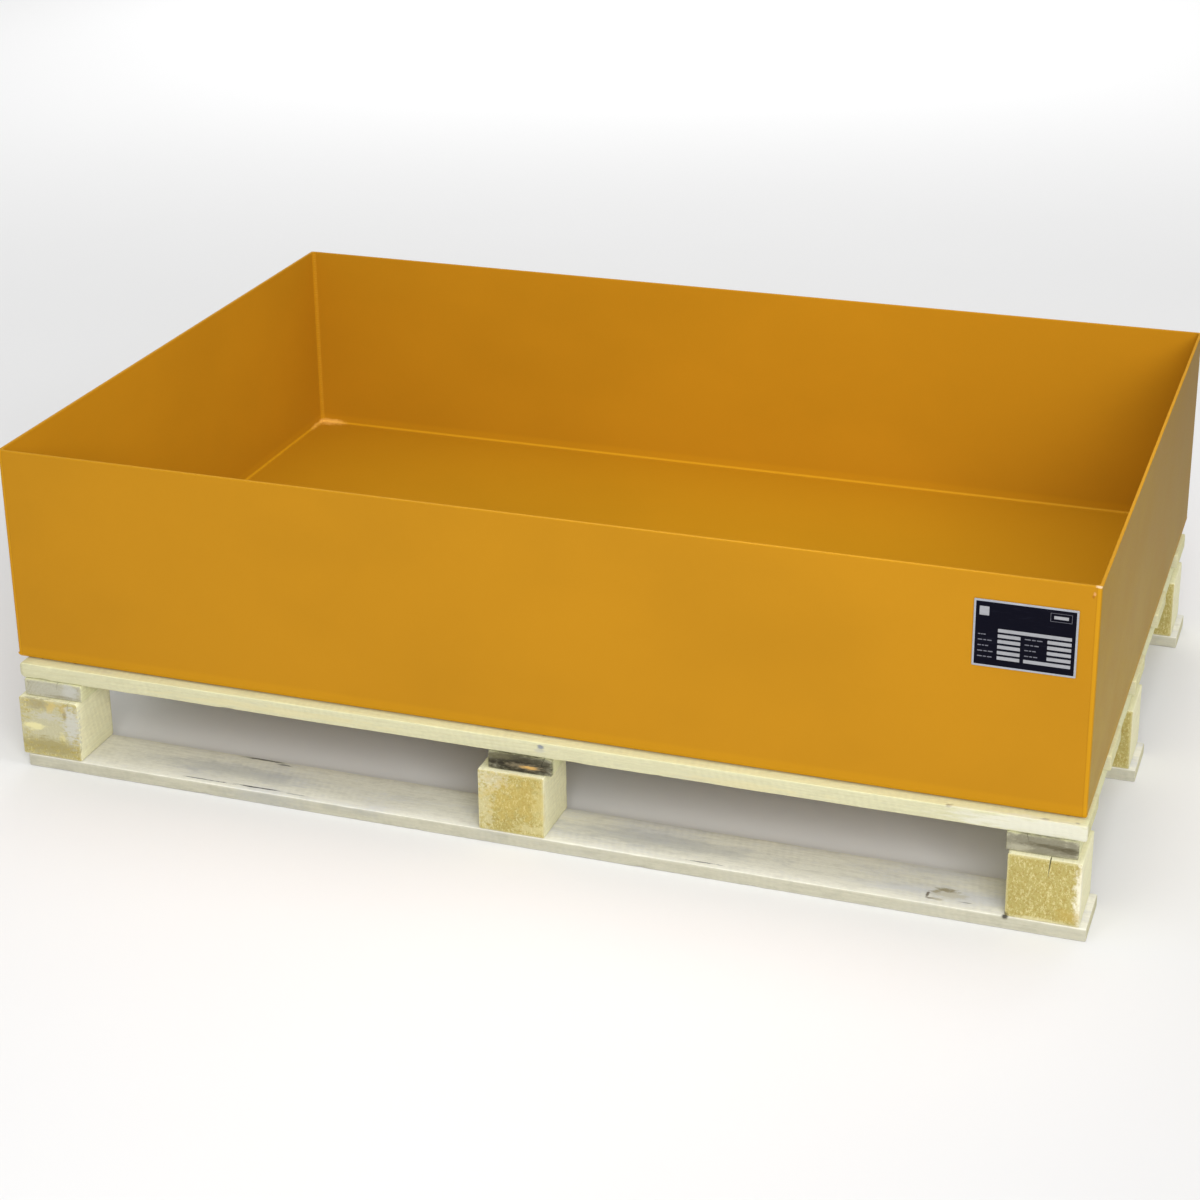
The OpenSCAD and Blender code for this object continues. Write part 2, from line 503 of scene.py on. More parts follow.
@dataclass(frozen=True)
class Pine:
    """Rough-sawn pine.

    Attributes:
        early: The pale wood of the growth rings.
        late: Their darker lines.
        weathered: The grey that old faces turn to.
        cut: The colour of sawn ends.
        cut_dark: The darker wood between their fibres.
        cut_fibre: The torn pale fibres on them.
        weathering: How much of the faces is grey, 0 to 1.
        ring_gap: The distance between growth rings, in millimetres.
        ring_share: How strongly the rings show on the faces.
        end_rings: How strongly they show on sawn ends.
        upright: Painted shade: the tone multiplied onto upright faces beside level ones.
        mottle: How blotchy the faces are.
        saw_pitch: The distance between saw marks.
        saw_depth: Their depth.
    """

    early: Colour = (0.69, 0.68, 0.41)
    late: Colour = (0.6, 0.53, 0.28)
    weathered: Colour = tint(184, 182, 168)
    cut: Colour = (0.41, 0.345, 0.115)
    cut_dark: Colour = tint(152, 128, 60)
    cut_fibre: Colour = tint(214, 205, 152)
    weathering: float = 0.25
    ring_gap: float = 3.6
    ring_share: float = 0.2
    end_rings: float = 0.14
    upright: Colour = (0.8, 0.785, 0.84)
    mottle: float = 0.25
    saw_pitch: float = 8.0
    saw_depth: float = 0.05

    def _faces(self, graph: "WoodGraph") -> Wire:
        """Returns the colour of the long faces, with rings, fibres, grey patches, saw marks and painted shade
        on upright faces.

        Args:
            graph: The timber's graph.

        Returns:
            The colour.
        """
        face = graph.blend(graph.late * self.ring_share, self.early, self.late)
        streaks = graph.ease(graph.fibre, 0.25, 0.75, 0.94, 1.05)
        face = graph.shade(face, streaks * graph.ease(graph.speck, 0.3, 0.7, 0.955, 1.04))
        old, sooner = graph.blotch + (graph.speck - 0.5) * 0.4, 0.34 * self.weathering
        grey = graph.ease(old, 0.62 - sooner, 0.84 - sooner)
        face = graph.blend(grey * min(1.0, 0.35 + self.weathering), face, self.weathered)
        darker = graph.shade(face, 0.84)
        face = graph.blend(graph.ease(graph.patch, 0.46, 0.66, 0.0, self.mottle), face, darker)
        face = graph.blend(graph.ease(graph.patch, 0.44, 0.3, 0.0, self.mottle * 0.5), face, self.weathered)
        face = graph.shade(face, 1.0 + graph.saw * 0.02)
        # Painted shade: upright faces are multiplied by the upright tone, so level faces read lighter.
        return graph.blend(graph.ease(graph.turned[2], 0.8, 0.3), face, self.upright, "MULTIPLY")

    def _sawn_ends(self, graph: "WoodGraph") -> Wire:
        """Returns the colour of the sawn ends, with rings, pores and torn fibres.

        Args:
            graph: The timber's graph.

        Returns:
            The colour.
        """
        sawn = graph.blend(graph.late * self.end_rings, self.cut, self.cut_dark)
        sawn = graph.blend(graph.ease(graph.speck, 0.52, 0.38, 0.0, 0.6), sawn, self.cut_dark)
        sawn = graph.blend(graph.ease(graph.fuzz, 0.5, 0.66, 0.0, 0.62), sawn, self.cut_fibre)
        return graph.shade(sawn, graph.ease(graph.blotch, 0.3, 0.7, 0.95, 1.06))

    def _worn_edges(self, graph: "WoodGraph", timber: "Timber", under: Wire) -> Wire:
        """Bares pale wood along the long edges and round the sawn ends.

        Args:
            graph: The timber's graph.
            timber: The timber.
            under: The colour below.

        Returns:
            The colour with its edges.
        """
        side = timber.width / 2 - abs(graph.across - timber.middle[1])
        face = timber.thick / 2 - abs(graph.up - timber.middle[2])
        corner = graph.ease(side.math("MAXIMUM", face), 3.0, 0.6, 0.0, 0.2)
        ragged = side.math("MINIMUM", face) + (graph.fuzz - 0.5) * 9.0
        torn = graph.ease(ragged, 3.0, 0.8, 0.0, 0.3) * graph.end
        return graph.blend(corner.math("MAXIMUM", torn), under, self.early)

    def material(self, timber: "Timber") -> bpy.types.Material:
        """Makes the wood of one timber, as a solid that its faces cut through.

        Args:
            timber: The timber, with its place, grain, marks and knots.

        Returns:
            The material.
        """
        graph = WoodGraph(self, timber)
        end, speck, fibre = graph.end, graph.speck, graph.fibre
        colour = graph.blend(end, self._faces(graph), self._sawn_ends(graph))
        colour = self._worn_edges(graph, timber, colour)
        for knot, far in graph.knots:
            colour = knot.paint(graph, far, colour)
        for mark in timber.marks:
            colour = mark.paint(graph, graph.point, colour)
        rough = 0.76 + (fibre - 0.5) * 0.25 + end * 0.1
        lines = fibre * 0.16 + graph.hair * 0.05 - graph.late * 0.05 + graph.saw * self.saw_depth
        relief = lines * (1.0 - end) + (speck * 0.5 + graph.fuzz * 0.35 + graph.hair * 0.16) * end
        return graph.surface(colour, rough, relief, Specular_IOR_Level=0.2)


class WoodGraph(Graph):
    """The graph of one timber's wood, with the patterns that its colours and its relief share.

    Attributes:
        point: The place in the shared frame; along, across and up are its parts along the grain,
            across it and upwards.
        turned: The three parts of the surface's direction.
        end: 1 on a sawn end, 0 on a long face.
        wander: How the fibres wander, around 0.
        fibre: Long fibres; hair is fine ones, and fuzz is torn ones on a sawn end.
        blotch: Wide blotches; patch is small ones, and speck is specks.
        knots: The timber's knots, each with the distance from it.
        late: The dark lines of the growth rings.
        saw: The marks of the saw, around 0.
    """

    RING_WANDER = 22.0
    KNOT_PUSH = 2.4
    SAW_SLANT = 0.22
    SAW_WANDER = 9.0

    def __init__(self, pine: Pine, timber: "Timber") -> None:
        """Lays the patterns through the timber.

        Args:
            pine: Its kind of wood.
            timber: The timber, with its place, grain, seed and knots.
        """
        super().__init__("pine_" + timber.node)
        draw = random.Random(timber.seed)
        self.point = self.place()
        own, self.turned = self.parts(self.point), self.parts(self.facing())
        self.along, self.across, self.up = (own[axis] for axis in timber.grain.value)
        shift = tuple(draw.uniform(-4000, 4000) for _ in range(3))
        wood = self.vector("ADD", self.join(self.along, self.across, self.up), shift)
        self.end = self.ease(abs(self.turned[timber.grain.value[0]]), 0.55, 0.8)
        self.wander = self.cloud(wood, (0.0022, 0.012, 0.012), 2.0) - 0.5
        self.fibre = self.cloud(wood, (0.018, 1.1, 1.1), 3.0, 0.6)
        self.hair = self.cloud(wood, (0.12, 3.2, 3.2), 2.0, 0.6)
        self.blotch = self.cloud(wood, (0.006, 0.02, 0.02), 3.0, 0.55)
        self.speck = self.cloud(wood, (0.16, 0.42, 0.42), 4.0, 0.72)
        self.fuzz = self.cloud(wood, (0.2, 0.46, 0.25), 3.0, 0.72)
        self.patch = self.cloud(wood, (0.05, 0.11, 0.11), 4.0, 0.62)
        self.knots = [(knot, knot.distance(self, self.point)) for knot in timber.knots]
        pith_across = draw.uniform(-0.5, 0.5) * timber.width
        pith_up = -draw.uniform(28, 60) if timber.flat else draw.uniform(-8, 8)
        self.late = self._late(pine.ring_gap, timber.middle[1] + pith_across, timber.middle[2] + pith_up)
        self.saw = self._saw(pine.saw_pitch, wood)

    def _late(self, gap: float, pith_across: float, pith_up: float) -> Wire:
        """Returns the dark lines of the growth rings, which bulge round knots.

        Args:
            gap: The distance between rings.
            pith_across: The place of the trunk's middle, across the grain.
            pith_up: Its height.

        Returns:
            1 on a line, 0 beside it.
        """
        radius = self.vector("LENGTH", self.join(0.0, self.across - pith_across, self.up - pith_up))
        radius = radius + self.wander * self.RING_WANDER
        for _, far in self.knots:
            radius = radius + self.ease(far, 2.6, 0.9, 0.0, self.KNOT_PUSH * gap)
        turn = (radius / gap).math("FRACT")
        return self.ease(turn, 0.35, 0.88) * self.ease(turn, 1.0, 0.92)

    def _saw(self, pitch: float, wood: Wire) -> Wire:
        """Returns the slanting marks of the saw, which come and go.

        Args:
            pitch: The distance between two marks.
            wood: The place in the wood.

        Returns:
            The marks, from -1 to 1.
        """
        slanted = self.along + self.across * self.SAW_SLANT + self.up * self.SAW_SLANT
        wave = ((slanted + self.wander * self.SAW_WANDER) * (2 * math.pi / pitch)).math("SINE")
        return wave * self.ease(self.cloud(wood, (0.01, 0.035, 0.035), 2.0), 0.4, 0.62)


class Stock(Enum):
    """The kinds of timber in the pallet, each with its look."""

    DECK = Pine(
        weathering=0.12,
        ring_share=0.12,
        cut=(0.64, 0.61, 0.35),
        cut_dark=(0.52, 0.47, 0.23),
        cut_fibre=(0.74, 0.71, 0.48),
    )
    CROSS = Pine(
        weathering=0.3,
        cut=tint(168, 164, 142),
        cut_dark=tint(132, 126, 102),
        cut_fibre=tint(186, 183, 162),
        end_rings=0.3,
        upright=(1.0, 1.0, 1.0),
    )
    BLOCK = Pine(
        early=(0.78, 0.75, 0.5),
        late=tint(216, 206, 162),
        weathering=0.06,
        ring_gap=4.4,
        ring_share=0.16,
        end_rings=0.1,
        upright=(1.0, 1.0, 1.0),
    )
    RUNNER = Pine(
        early=(0.8, 0.78, 0.67),
        late=(0.68, 0.65, 0.53),
        weathered=(0.66, 0.66, 0.65),
        cut=(0.6, 0.57, 0.38),
        cut_dark=(0.47, 0.43, 0.26),
        cut_fibre=(0.7, 0.68, 0.52),
        weathering=0.5,
        ring_share=0.14,
        # Painted shade: the runner's upright faces are darkened well below its tops.
        upright=(0.6, 0.59, 0.53),
        mottle=0.55,
    )


@dataclass(frozen=True)
class Crack:
    """A drying crack in a sawn end, from its mouth at an edge to its foot.

    Attributes:
        mouth: The middle of its open edge, in millimetres.
        foot: Its lower tip, on the same end.
        gap: Its width at the mouth.
        depth: How far it runs along the grain, with its sign.
        proud: How far the wedge that is cut out stands over the end.
    """

    mouth: Triple
    foot: Triple
    gap: float
    depth: float
    proud: float = 0.8

    def wedge(self, grain: Grain) -> tuple[list[Vector], Faces]:
        """Returns the points and faces of the wedge that the crack takes out.

        Args:
            grain: The timber's grain, along which it tapers.

        Returns:
            The points and the faces.
        """
        along, across, _ = grain.value
        inward, side = Vector((0, 0, 0)), Vector((0, 0, 0))
        inward[along], side[across] = self.depth, self.gap / 2
        outward = inward.normalized() * -self.proud
        mouth, foot = Vector(self.mouth) + outward, Vector(self.foot) + outward
        points = [mouth - side, mouth + side, foot - side * 0.1, foot + side * 0.1]
        points += [mouth + inward * 1.1, foot + inward * 0.6]
        return points, [(0, 1, 3, 2), (0, 4, 1), (2, 3, 5), (0, 2, 5, 4), (1, 4, 5, 3)]


@dataclass(frozen=True)
class NailSeat:
    """The dished hollow round a driven nail's head.

    Attributes:
        x: The nail's place along X.
        y: The nail's place along Y.
        face: The height of the board's face.
        inward: 1 where the wood lies above the face, -1 where it lies below.
        wide: The hollow's radius at the face.
        narrow: Its radius at the bottom.
        depth: Its depth.
        sides: The number of its sides.
        proud: How far the solid that is cut out stands over the face.
    """

    x: float
    y: float
    face: float
    inward: int
    wide: float = 3.8
    narrow: float = 3.7
    depth: float = 1.95
    sides: int = 14
    proud: float = 0.6

    def cone(self) -> tuple[list[Vector], Faces]:
        """Shapes the solid that the nail's head pressed out.

        Returns:
            Its points and faces.
        """
        n = self.sides
        points = [
            Vector((self.x + r * math.cos(turn), self.y + r * math.sin(turn), self.face + rise * self.inward))
            for r, rise in ((self.wide, -self.proud), (self.narrow, self.depth))
            for turn in (2 * math.pi * i / n for i in range(n))
        ]
        return points, band(0, n, n) + [tuple(range(n)), tuple(range(n, 2 * n))]


@dataclass
class Timber:
    """One sawn timber, lofted along its grain with worn edges and rough ends.

    Attributes:
        node: The CAD node that it stands for.
        slot: The record's slot of its finish; not used.
        stock: Its kind of wood.
        grain: Its grain direction.
        seed: What makes it differ from the others.
        step: The distance between its sections, in millimetres.
        arris: The usual radius of its long edges.
        start_round: How far its lower end is rounded.
        end_round: How far its upper end is rounded.
        dents: How uneven its faces are.
        marks: Its stains.
        knots: Its knots.
        cracks: Its drying cracks.
        seats: The hollows round its nails.
        middle: Its middle along the grain, across it and upwards.
        size: Its sizes in the same order.
    """

    node: str
    slot: str
    stock: Stock
    grain: Grain
    seed: int
    step: float = 11.0
    arris: float = 1.3
    start_round: float = 1.3
    end_round: float = 1.3
    dents: float = 0.22
    marks: Sequence[Mark] = ()
    knots: Sequence[Knot] = ()
    cracks: Sequence[Crack] = ()
    seats: Sequence[NailSeat] = ()
    middle: list[float] = field(init=False)
    size: list[float] = field(init=False)

    def __post_init__(self) -> None:
        """Reads the timber's place from the CAD frame."""
        low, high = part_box(self.node)
        self.middle = [(low[a] + high[a]) / 2 / MM for a in self.grain.value]
        self.size = [(high[a] - low[a]) / MM for a in self.grain.value]

    @property
    def width(self) -> float:
        """The size across the grain, level."""
        return self.size[1]

    @property
    def thick(self) -> float:
        """The size across the grain, upright."""
        return self.size[2]

    @property
    def flat(self) -> bool:
        """True for a board, False for a block."""
        return self.width > 2 * self.thick

    def _point(self, along: float, across: float, up: float) -> Vector:
        """Turns a place relative to the timber's middle into the shared frame.

        Args:
            along: The place along the grain.
            across: The place across it.
            up: The place upwards.

        Returns:
            The point.
        """
        made = Vector((0, 0, 0))
        for axis, centre, value in zip(self.grain.value, self.middle, (along, across, up)):
            made[axis] = centre + value
        return made

    def _edge_radius(self, corner: int, along: float) -> float:
        """Returns how far one long edge is worn at one place.

        Args:
            corner: The edge's number, 0 to 3.
            along: The place along the grain.

        Returns:
            The radius in millimetres.
        """
        place = Vector((along * 0.013, corner * 7.3 + 0.4, self.seed * 3.17))
        chip = max(0.0, noise.noise(place * 6.0) - 0.36) * 7.0 * self.arris
        return min(self.arris * (1.0 + 0.6 * noise.noise(place)) + chip, 0.3 * min(self.width, self.thick))

    def _ring(self, along: float, squeeze: float) -> list[Vector]:
        """Makes one section across the grain.

        Args:
            along: Its place along the grain.
            squeeze: How far it is drawn in, for a rounded end.

        Returns:
            Its points, in order round the section.
        """
        half_v, half_w = self.width / 2 - squeeze * 0.7, self.thick / 2 - squeeze
        outline = self._outline(half_v, half_w, along)
        ring = []
        for v, w in outline:
            place = Vector((along * 0.02, v * 0.07 + self.seed * 5.1, w * 0.07))
            dent = self.dents * (1.0 + noise.noise(place) + 0.5 * noise.noise(place * 4.0))
            ring.append(self._point(along, v * (1 - dent / half_v), w * (1 - dent / half_w)))
        return ring

    def _outline(self, half_v: float, half_w: float, along: float) -> list[tuple[float, float]]:
        """Makes one section's outline: a rectangle with worn corners.

        Args:
            half_v: Half its width.
            half_w: Half its height.
            along: Its place along the grain, which sets the wear.

        Returns:
            Its points, as (across, up) from the middle.
        """
        arcs = []
        for k, (sv, sw) in enumerate(((1, 1), (-1, 1), (-1, -1), (1, -1))):
            r = min(self._edge_radius(k, along), 0.45 * half_w)
            v, w = sv * (half_v - r), sw * (half_w - r)
            turns = [math.radians(90 * k + 30 * i) for i in range(4)]
            arcs.append([(v + r * math.cos(turn), w + r * math.sin(turn)) for turn in turns])
        outline = []
        for k, arc in enumerate(arcs):
            (v0, w0), (v1, w1) = arc[-1], arcs[(k + 1) % 4][0]
            parts = 3 if self.flat and k % 2 else 6
            outline += arc
            outline += [(v0 + (v1 - v0) * j / parts, w0 + (w1 - w0) * j / parts) for j in range(1, parts)]
        return outline

    def _stations(self) -> list[tuple[float, float]]:
        """Spaces the sections, closely at the rounded ends.

        Returns:
            The place of each along the grain, with how far it is drawn in.
        """
        half = self.size[0] / 2
        turns = [math.radians(t) for t in (0, 25, 50, 90)]
        first, last = self.start_round, self.end_round
        opening = [(-half + first * (1 - math.cos(t)), first * (1 - math.sin(t))) for t in turns]
        closing = [(half - last * (1 - math.cos(t)), last * (1 - math.sin(t))) for t in reversed(turns)]
        start, end = opening[-1][0], closing[0][0]
        count = max(2, round((end - start) / self.step))
        between = [(start + (end - start) * i / count, 0.0) for i in range(1, count)]
        return opening + between + closing

    def _cap(self, points: list[Vector], faces: Faces, ring_start: int, count: int, outward: int) -> None:
        """Closes one end with rings that shrink to its middle.

        Args:
            points: The timber's points, which grow.
            faces: Its faces, which grow.
            ring_start: The number of the last ring's first point.
            count: The number of points in a ring.
            outward: 1 at the upper end, -1 at the lower end.
        """
        axis = self.grain.value[0]
        edge = points[ring_start : ring_start + count]
        centre = sum(edge, Vector((0, 0, 0))) / count
        before = ring_start
        for share in (0.9, 0.7, 0.45, 0.2):
            first = len(points)
            for p in edge:
                q = centre.lerp(p, share)
                q[axis] -= outward * self.dents * (0.8 + noise.noise(q * 0.09 + Vector((self.seed, 0, 0))))
                points.append(q)
            faces += band(before, first, count)
            before = first
        points.append(centre - Vector([outward * self.dents if a == axis else 0 for a in range(3)]))
        faces += [(before + i, before + (i + 1) % count, len(points) - 1) for i in range(count)]

    def build(self) -> bpy.types.Object:
        """Makes the timber, dresses it and puts it in its CAD node's place.

        Returns:
            The finished piece.
        """
        rings = [self._ring(along, squeeze) for along, squeeze in self._stations()]
        points = [p for ring in rings for p in ring]
        count = len(rings[0])
        faces = stack(count, len(rings))
        self._cap(points, faces, 0, count, -1)
        self._cap(points, faces, (len(rings) - 1) * count, count, 1)
        piece = piece_from("wood_" + self.node, points, faces)
        solids = [seat.cone() for seat in self.seats] + [crack.wedge(self.grain) for crack in self.cracks]
        if solids:
            carve(piece, self._cutter(solids))
        soften(piece)
        dress(piece, self.stock.value.material(self))
        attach(piece, "pallet")
        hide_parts(self.node)
        report(piece)
        return piece

    def _cutter(self, solids: Sequence[tuple[list[Vector], Faces]]) -> bpy.types.Object:
        """Joins the solids to be cut out in one object.

        Args:
            solids: The points and faces of each.

        Returns:
            The object.
        """
        points: list[Vector] = []
        faces: Faces = []
        for own_points, own_faces in solids:
            faces += [tuple(i + len(points) for i in face) for face in own_faces]
            points += own_points
        return piece_from("cutter", points, faces)


@dataclass(frozen=True)
class DrivenSteel:
    """Bright wire nails that have started to dull and rust.

    Attributes:
        bright: The clean steel.
        dull: The dull patches.
        rust: The rust at their edges.
    """

    bright: Colour = tint(172, 174, 178)
    dull: Colour = tint(116, 114, 112)
    rust: Colour = tint(128, 84, 52)

    def material(self) -> bpy.types.Material:
        """Makes the nails' finish.

        Returns:
            The material.
        """
        graph = Graph("nail_steel")
        point = graph.place()
        patch = graph.cloud(point, (0.35, 0.35, 0.35), 3.0)
        grain = graph.cloud(point, (2.2, 2.2, 2.2), 2.0)
        colour = graph.blend(graph.ease(patch, 0.35, 0.65), self.bright, self.dull)
        colour = graph.blend(graph.ease(grain, 0.58, 0.74, 0.0, 0.7), colour, self.rust)
        rough = graph.ease(patch, 0.3, 0.7, 0.32, 0.58)
        return graph.surface(colour, rough, grain * 0.06 + patch * 0.08, Metallic=0.85)


@dataclass
class WoodPallet:
    """The one-way pallet: deck boards, cross boards, blocks, runners and nails.

    Attributes:
        nail_x: How far a nail stands from a crossing's middle along X.
        nail_y: How far it stands from it along Y.
    """

    nail_x: float = 20.88
    nail_y: float = 15.84

    def _front(self, node: str) -> float:
        """Returns the place of a CAD node's front along Y, to a tenth of a millimetre."""
        return round(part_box(node)[0].y / MM, 1)

    def _centre(self, node: str) -> tuple[float, float]:
        """Returns the middle of a CAD node in plan, in millimetres."""
        low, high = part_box(node)
        return (low[0] + high[0]) / 2 / MM, (low[1] + high[1]) / 2 / MM

    def _deck_seats(self, board: int) -> list[NailSeat]:
        """Places the nail hollows of one deck board.

        Args:
            board: The board's number, 1 to 5.

        Returns:
            The hollows.
        """
        y = self._centre(f"deck_board_{board}")[1]
        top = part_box(f"deck_board_{board}")[1][2] / MM
        three = ((-1, -1.0), (1, -1.0), (0, 1.0))
        two = ((-1, 0.5), (1, -0.5))
        crossings = [self._centre(f"cross_board_{side}")[0] for side in COLUMNS]
        return [
            NailSeat(x + sx * self.nail_x, y + sy * self.nail_y, top, -1)
            for x in crossings
            for sx, sy in (three if board % 2 else two)
        ]

    def _runner_seats(self, row: str) -> list[NailSeat]:
        """Places the nail hollows of one runner.

        Args:
            row: "front", "middle" or "back".

        Returns:
            The hollows.
        """
        return [
            NailSeat(x + sx * self.nail_x, y + sy * self.nail_y, 0.0, 1)
            for x, y in (self._centre(f"block_{row}_{column}") for column in COLUMNS)
            for sx, sy in ((-1, 1.0), (1, 1.0), (0, -1.0))
        ]

    def _deck_marks(self) -> tuple[Mark, ...]:
        """Lists the stains and bleached places on the front deck board.

        Returns:
            The marks.
        """
        dirt, cream, bleached = tint(96, 92, 84), tint(206, 194, 146), tint(214, 213, 202)
        return (
            Mark((28.2, -402, 119.5), (4.2, 5, 3.6), tint(104, 112, 130), 0.8, 0.5),
            Mark((27, -402, 115), (6, 5, 4), tint(168, 168, 160), 0.5, 0.7),
            Mark((460, -400, 125), (5, 4, 3), tint(128, 116, 84), 0.7, 0.7),
            Mark((556, -399, 125), (5, 2.2, 3), dirt, 0.55, 0.9),
            Mark((588, -398, 125), (3, 2, 3), dirt, 0.5, 0.9),
            Mark((250, -402, 112), (90, 5, 5), cream, 0.4, 0.9, (0.04, 0.2, 0.3)),
            Mark((-280, -402, 114), (160, 5, 5), cream, 0.4, 0.9, (0.04, 0.2, 0.3)),
            Mark((560, -402, 116), (110, 8, 14), bleached, 0.6, 0.7, (0.05, 0.2, 0.3)),
        )

    def build_deck(self) -> None:
        """Makes the five deck boards; the front one shows its face and its worn left end."""
        knots = {
            1: (Knot((-96, -350, 125), (13, 8, 12)),),
            2: (Knot((212, -205, 125), (15, 9, 14)), Knot((-420, -226, 125), (8, 6, 12))),
            3: (Knot((-205, -38, 125), (12, 8, 12)),),
            4: (Knot((330, 160, 125), (17, 10, 14)), Knot((-60, 140, 125), (6, 5, 12))),
            5: (Knot((-330, 344, 125), (14, 9, 12)), Knot((160, 369, 113), (12, 6, 9))),
        }
        for board in range(1, 6):
            Timber(
                f"deck_board_{board}",
                "deck_wood",
                Stock.DECK,
                Grain.ALONG_X,
                seed=10 + board,
                start_round=6.0 if board == 1 else 1.4,
                end_round=2.4 if board == 1 else 1.4,
                marks=self._deck_marks() if board == 1 else (),
                knots=knots[board],
                seats=self._deck_seats(board),
            ).build()

    def _cross_marks(self) -> dict[str, tuple[Mark, ...]]:
        """Lists the dirt and streaks on the cross boards' front ends, and the painted recess shade on the
        middle one's end.

        Returns:
            The marks by board.
        """
        y = self._front("cross_board_middle")
        painted_recess_shade = tint(62, 58, 42)
        return {
            "left": (
                Mark((-556, y, 97), (46, 6, 14), tint(172, 170, 154), 0.7, 0.5),
                Mark((-534, y, 98), (12, 6, 12), tint(184, 184, 176), 0.7, 0.6),
                Mark((-545, y, 90), (26, 5, 2.4), tint(128, 120, 96), 0.5, 0.9, (0.1, 0.3, 0.6)),
            ),
            "middle": (
                # Painted shade: these first two marks darken the middle board's end as if it lay back in a
                # recess.
                Mark((4.5, y, 97), (64, 9, 22), painted_recess_shade, 0.95, 0.3),
                Mark((2, y, 95), (38, 9, 8), tint(34, 30, 22), 0.75, 0.5),
                Mark((-20, y, 103), (22, 7, 5), tint(104, 100, 74), 0.6, 0.9),
                Mark((11, y, 94.5), (25, 7, 4.2), tint(128, 118, 94), 0.7, 0.7, (0.12, 0.3, 0.5)),
                Mark((15, y, 94), (12, 7, 2.4), tint(200, 160, 92), 0.9, 0.7, (0.14, 0.3, 0.5)),
            ),
            "right": (
                Mark((556, y, 97), (70, 7, 20), tint(122, 118, 99), 0.85, 0.6),
                Mark((566, y, 97.5), (30, 6, 3.0), tint(92, 86, 66), 0.85, 0.9, (0.08, 0.3, 0.6)),
                Mark((582, y, 95), (14, 6, 3.6), tint(84, 78, 58), 0.7, 0.8, (0.1, 0.3, 0.6)),
                Mark((532, y, 92), (14, 6, 5), tint(176, 172, 150), 0.6, 0.8),
            ),
        }

    def build_cross_boards(self) -> None:
        """Makes the three cross boards, whose front ends are grey, dirty and streaked; the middle end also
        has painted shade.
        """
        marks = self._cross_marks()
        cracks = {
            "left": (Crack((-549, -404, 107.5), (-551, -404, 96), 0.9, 14),),
            "middle": (Crack((33, -404, 107.5), (28, -404, 95), 0.8, 14),),
            "right": (Crack((540, -404, 107.5), (543, -404, 98), 0.8, 12),),
        }
        for i, side in enumerate(COLUMNS):
            Timber(
                f"cross_board_{side}",
                "cross_wood",
                Stock.CROSS,
                Grain.ALONG_Y,
                seed=30 + i,
                arris=1.1,
                marks=marks[side],
                cracks=cracks[side],
            ).build()

    def _block_marks(self) -> dict[tuple[str, str], tuple[Mark, ...]]:
        """Lists the stains and pale fibres on the front blocks' sawn ends.

        Returns:
            The marks by row and column.
        """
        y = self._front("block_front_middle")
        return {
            ("front", "left"): (
                Mark((-560, y, 54), (54, 6, 46), tint(184, 181, 154), 0.8, 0.8),
                Mark((-572, y, 81), (20, 6, 9), tint(152, 142, 104), 0.7, 0.8),
                Mark((-556, y, 79), (8, 5, 10), tint(200, 178, 108), 0.65, 0.8, (0.12, 0.3, 0.1)),
                Mark((-541, y, 79), (6, 5, 9), tint(186, 164, 98), 0.6, 0.8, (0.12, 0.3, 0.1)),
                Mark((-580, y, 52), (17, 5, 6), tint(220, 212, 158), 0.85, 0.6, (0.08, 0.3, 0.2)),
                Mark((-545, y, 40), (5, 5, 9), tint(214, 204, 142), 0.6, 0.7),
                Mark((-562, y, 29), (44, 6, 12), tint(150, 138, 84), 0.75, 0.8),
                Mark((-531, y, 60), (13, 6, 26), tint(192, 192, 184), 0.75, 0.8),
                Mark((-560, y, 66), (22, 5, 6), tint(186, 184, 170), 0.6, 0.9),
                Mark((-540, y, 70), (3, 5, 7), tint(138, 122, 66), 0.6, 0.8),
            ),
            ("front", "middle"): (
                Mark((-26, y, 76), (22, 5, 14), tint(206, 202, 178), 0.5, 1.3, (0.2, 0.3, 0.25)),
                Mark((-34, y, 46), (12, 5, 40), tint(204, 198, 160), 0.5, 1.3, (0.2, 0.3, 0.25)),
                Mark((6, y, 58), (50, 5, 30), tint(196, 168, 84), 0.3, 1.6, (0.1, 0.3, 0.12)),
                Mark((22, y, 24), (26, 5, 7), tint(206, 198, 152), 0.45, 0.9),
                Mark((30, y, 50), (10, 5, 34), tint(206, 196, 138), 0.4, 0.9),
            ),
            ("front", "right"): (
                Mark((598, y, 50), (9, 6, 44), tint(226, 221, 196), 0.95, 0.75, (0.2, 0.3, 0.16)),
                Mark((586, y, 26), (16, 5, 9), tint(178, 152, 74), 0.5, 0.8),
                Mark((560, y, 16), (40, 5, 4), tint(214, 206, 162), 0.6, 0.9),
                Mark((523.5, y, 17), (4, 5, 4), tint(64, 54, 34), 0.7, 0.5),
            ),
        }

    def build_blocks(self) -> None:
        """Makes the nine blocks, with the grain running from front to back."""
        marks = self._block_marks()
        cracks = {
            ("front", "left"): (Crack((-534.1, -410, 88.5), (-536.5, -410, 75), 1.6, 10.9),),
            ("front", "right"): (Crack((565.6, -410, 88.5), (563.5, -410, 66), 1.9, 12),),
            ("middle", "right"): (Crack((552, 8, 88.5), (556, 8, 70), 1.6, -9),),
            ("back", "left"): (Crack((-548, 370, 88.5), (-551, 370, 66), 1.8, -10),),
        }
        for i, row in enumerate(ROWS):
            for j, column in enumerate(COLUMNS):
                Timber(
                    f"block_{row}_{column}",
                    "block_wood",
                    Stock.BLOCK,
                    Grain.ALONG_Y,
                    seed=50 + 3 * i + j,
                    step=3.2,
                    arris=1.5,
                    start_round=1.5,
                    end_round=1.5,
                    dents=0.3,
                    marks=marks.get((row, column), ()),
                    cracks=cracks.get((row, column), ()),
                ).build()

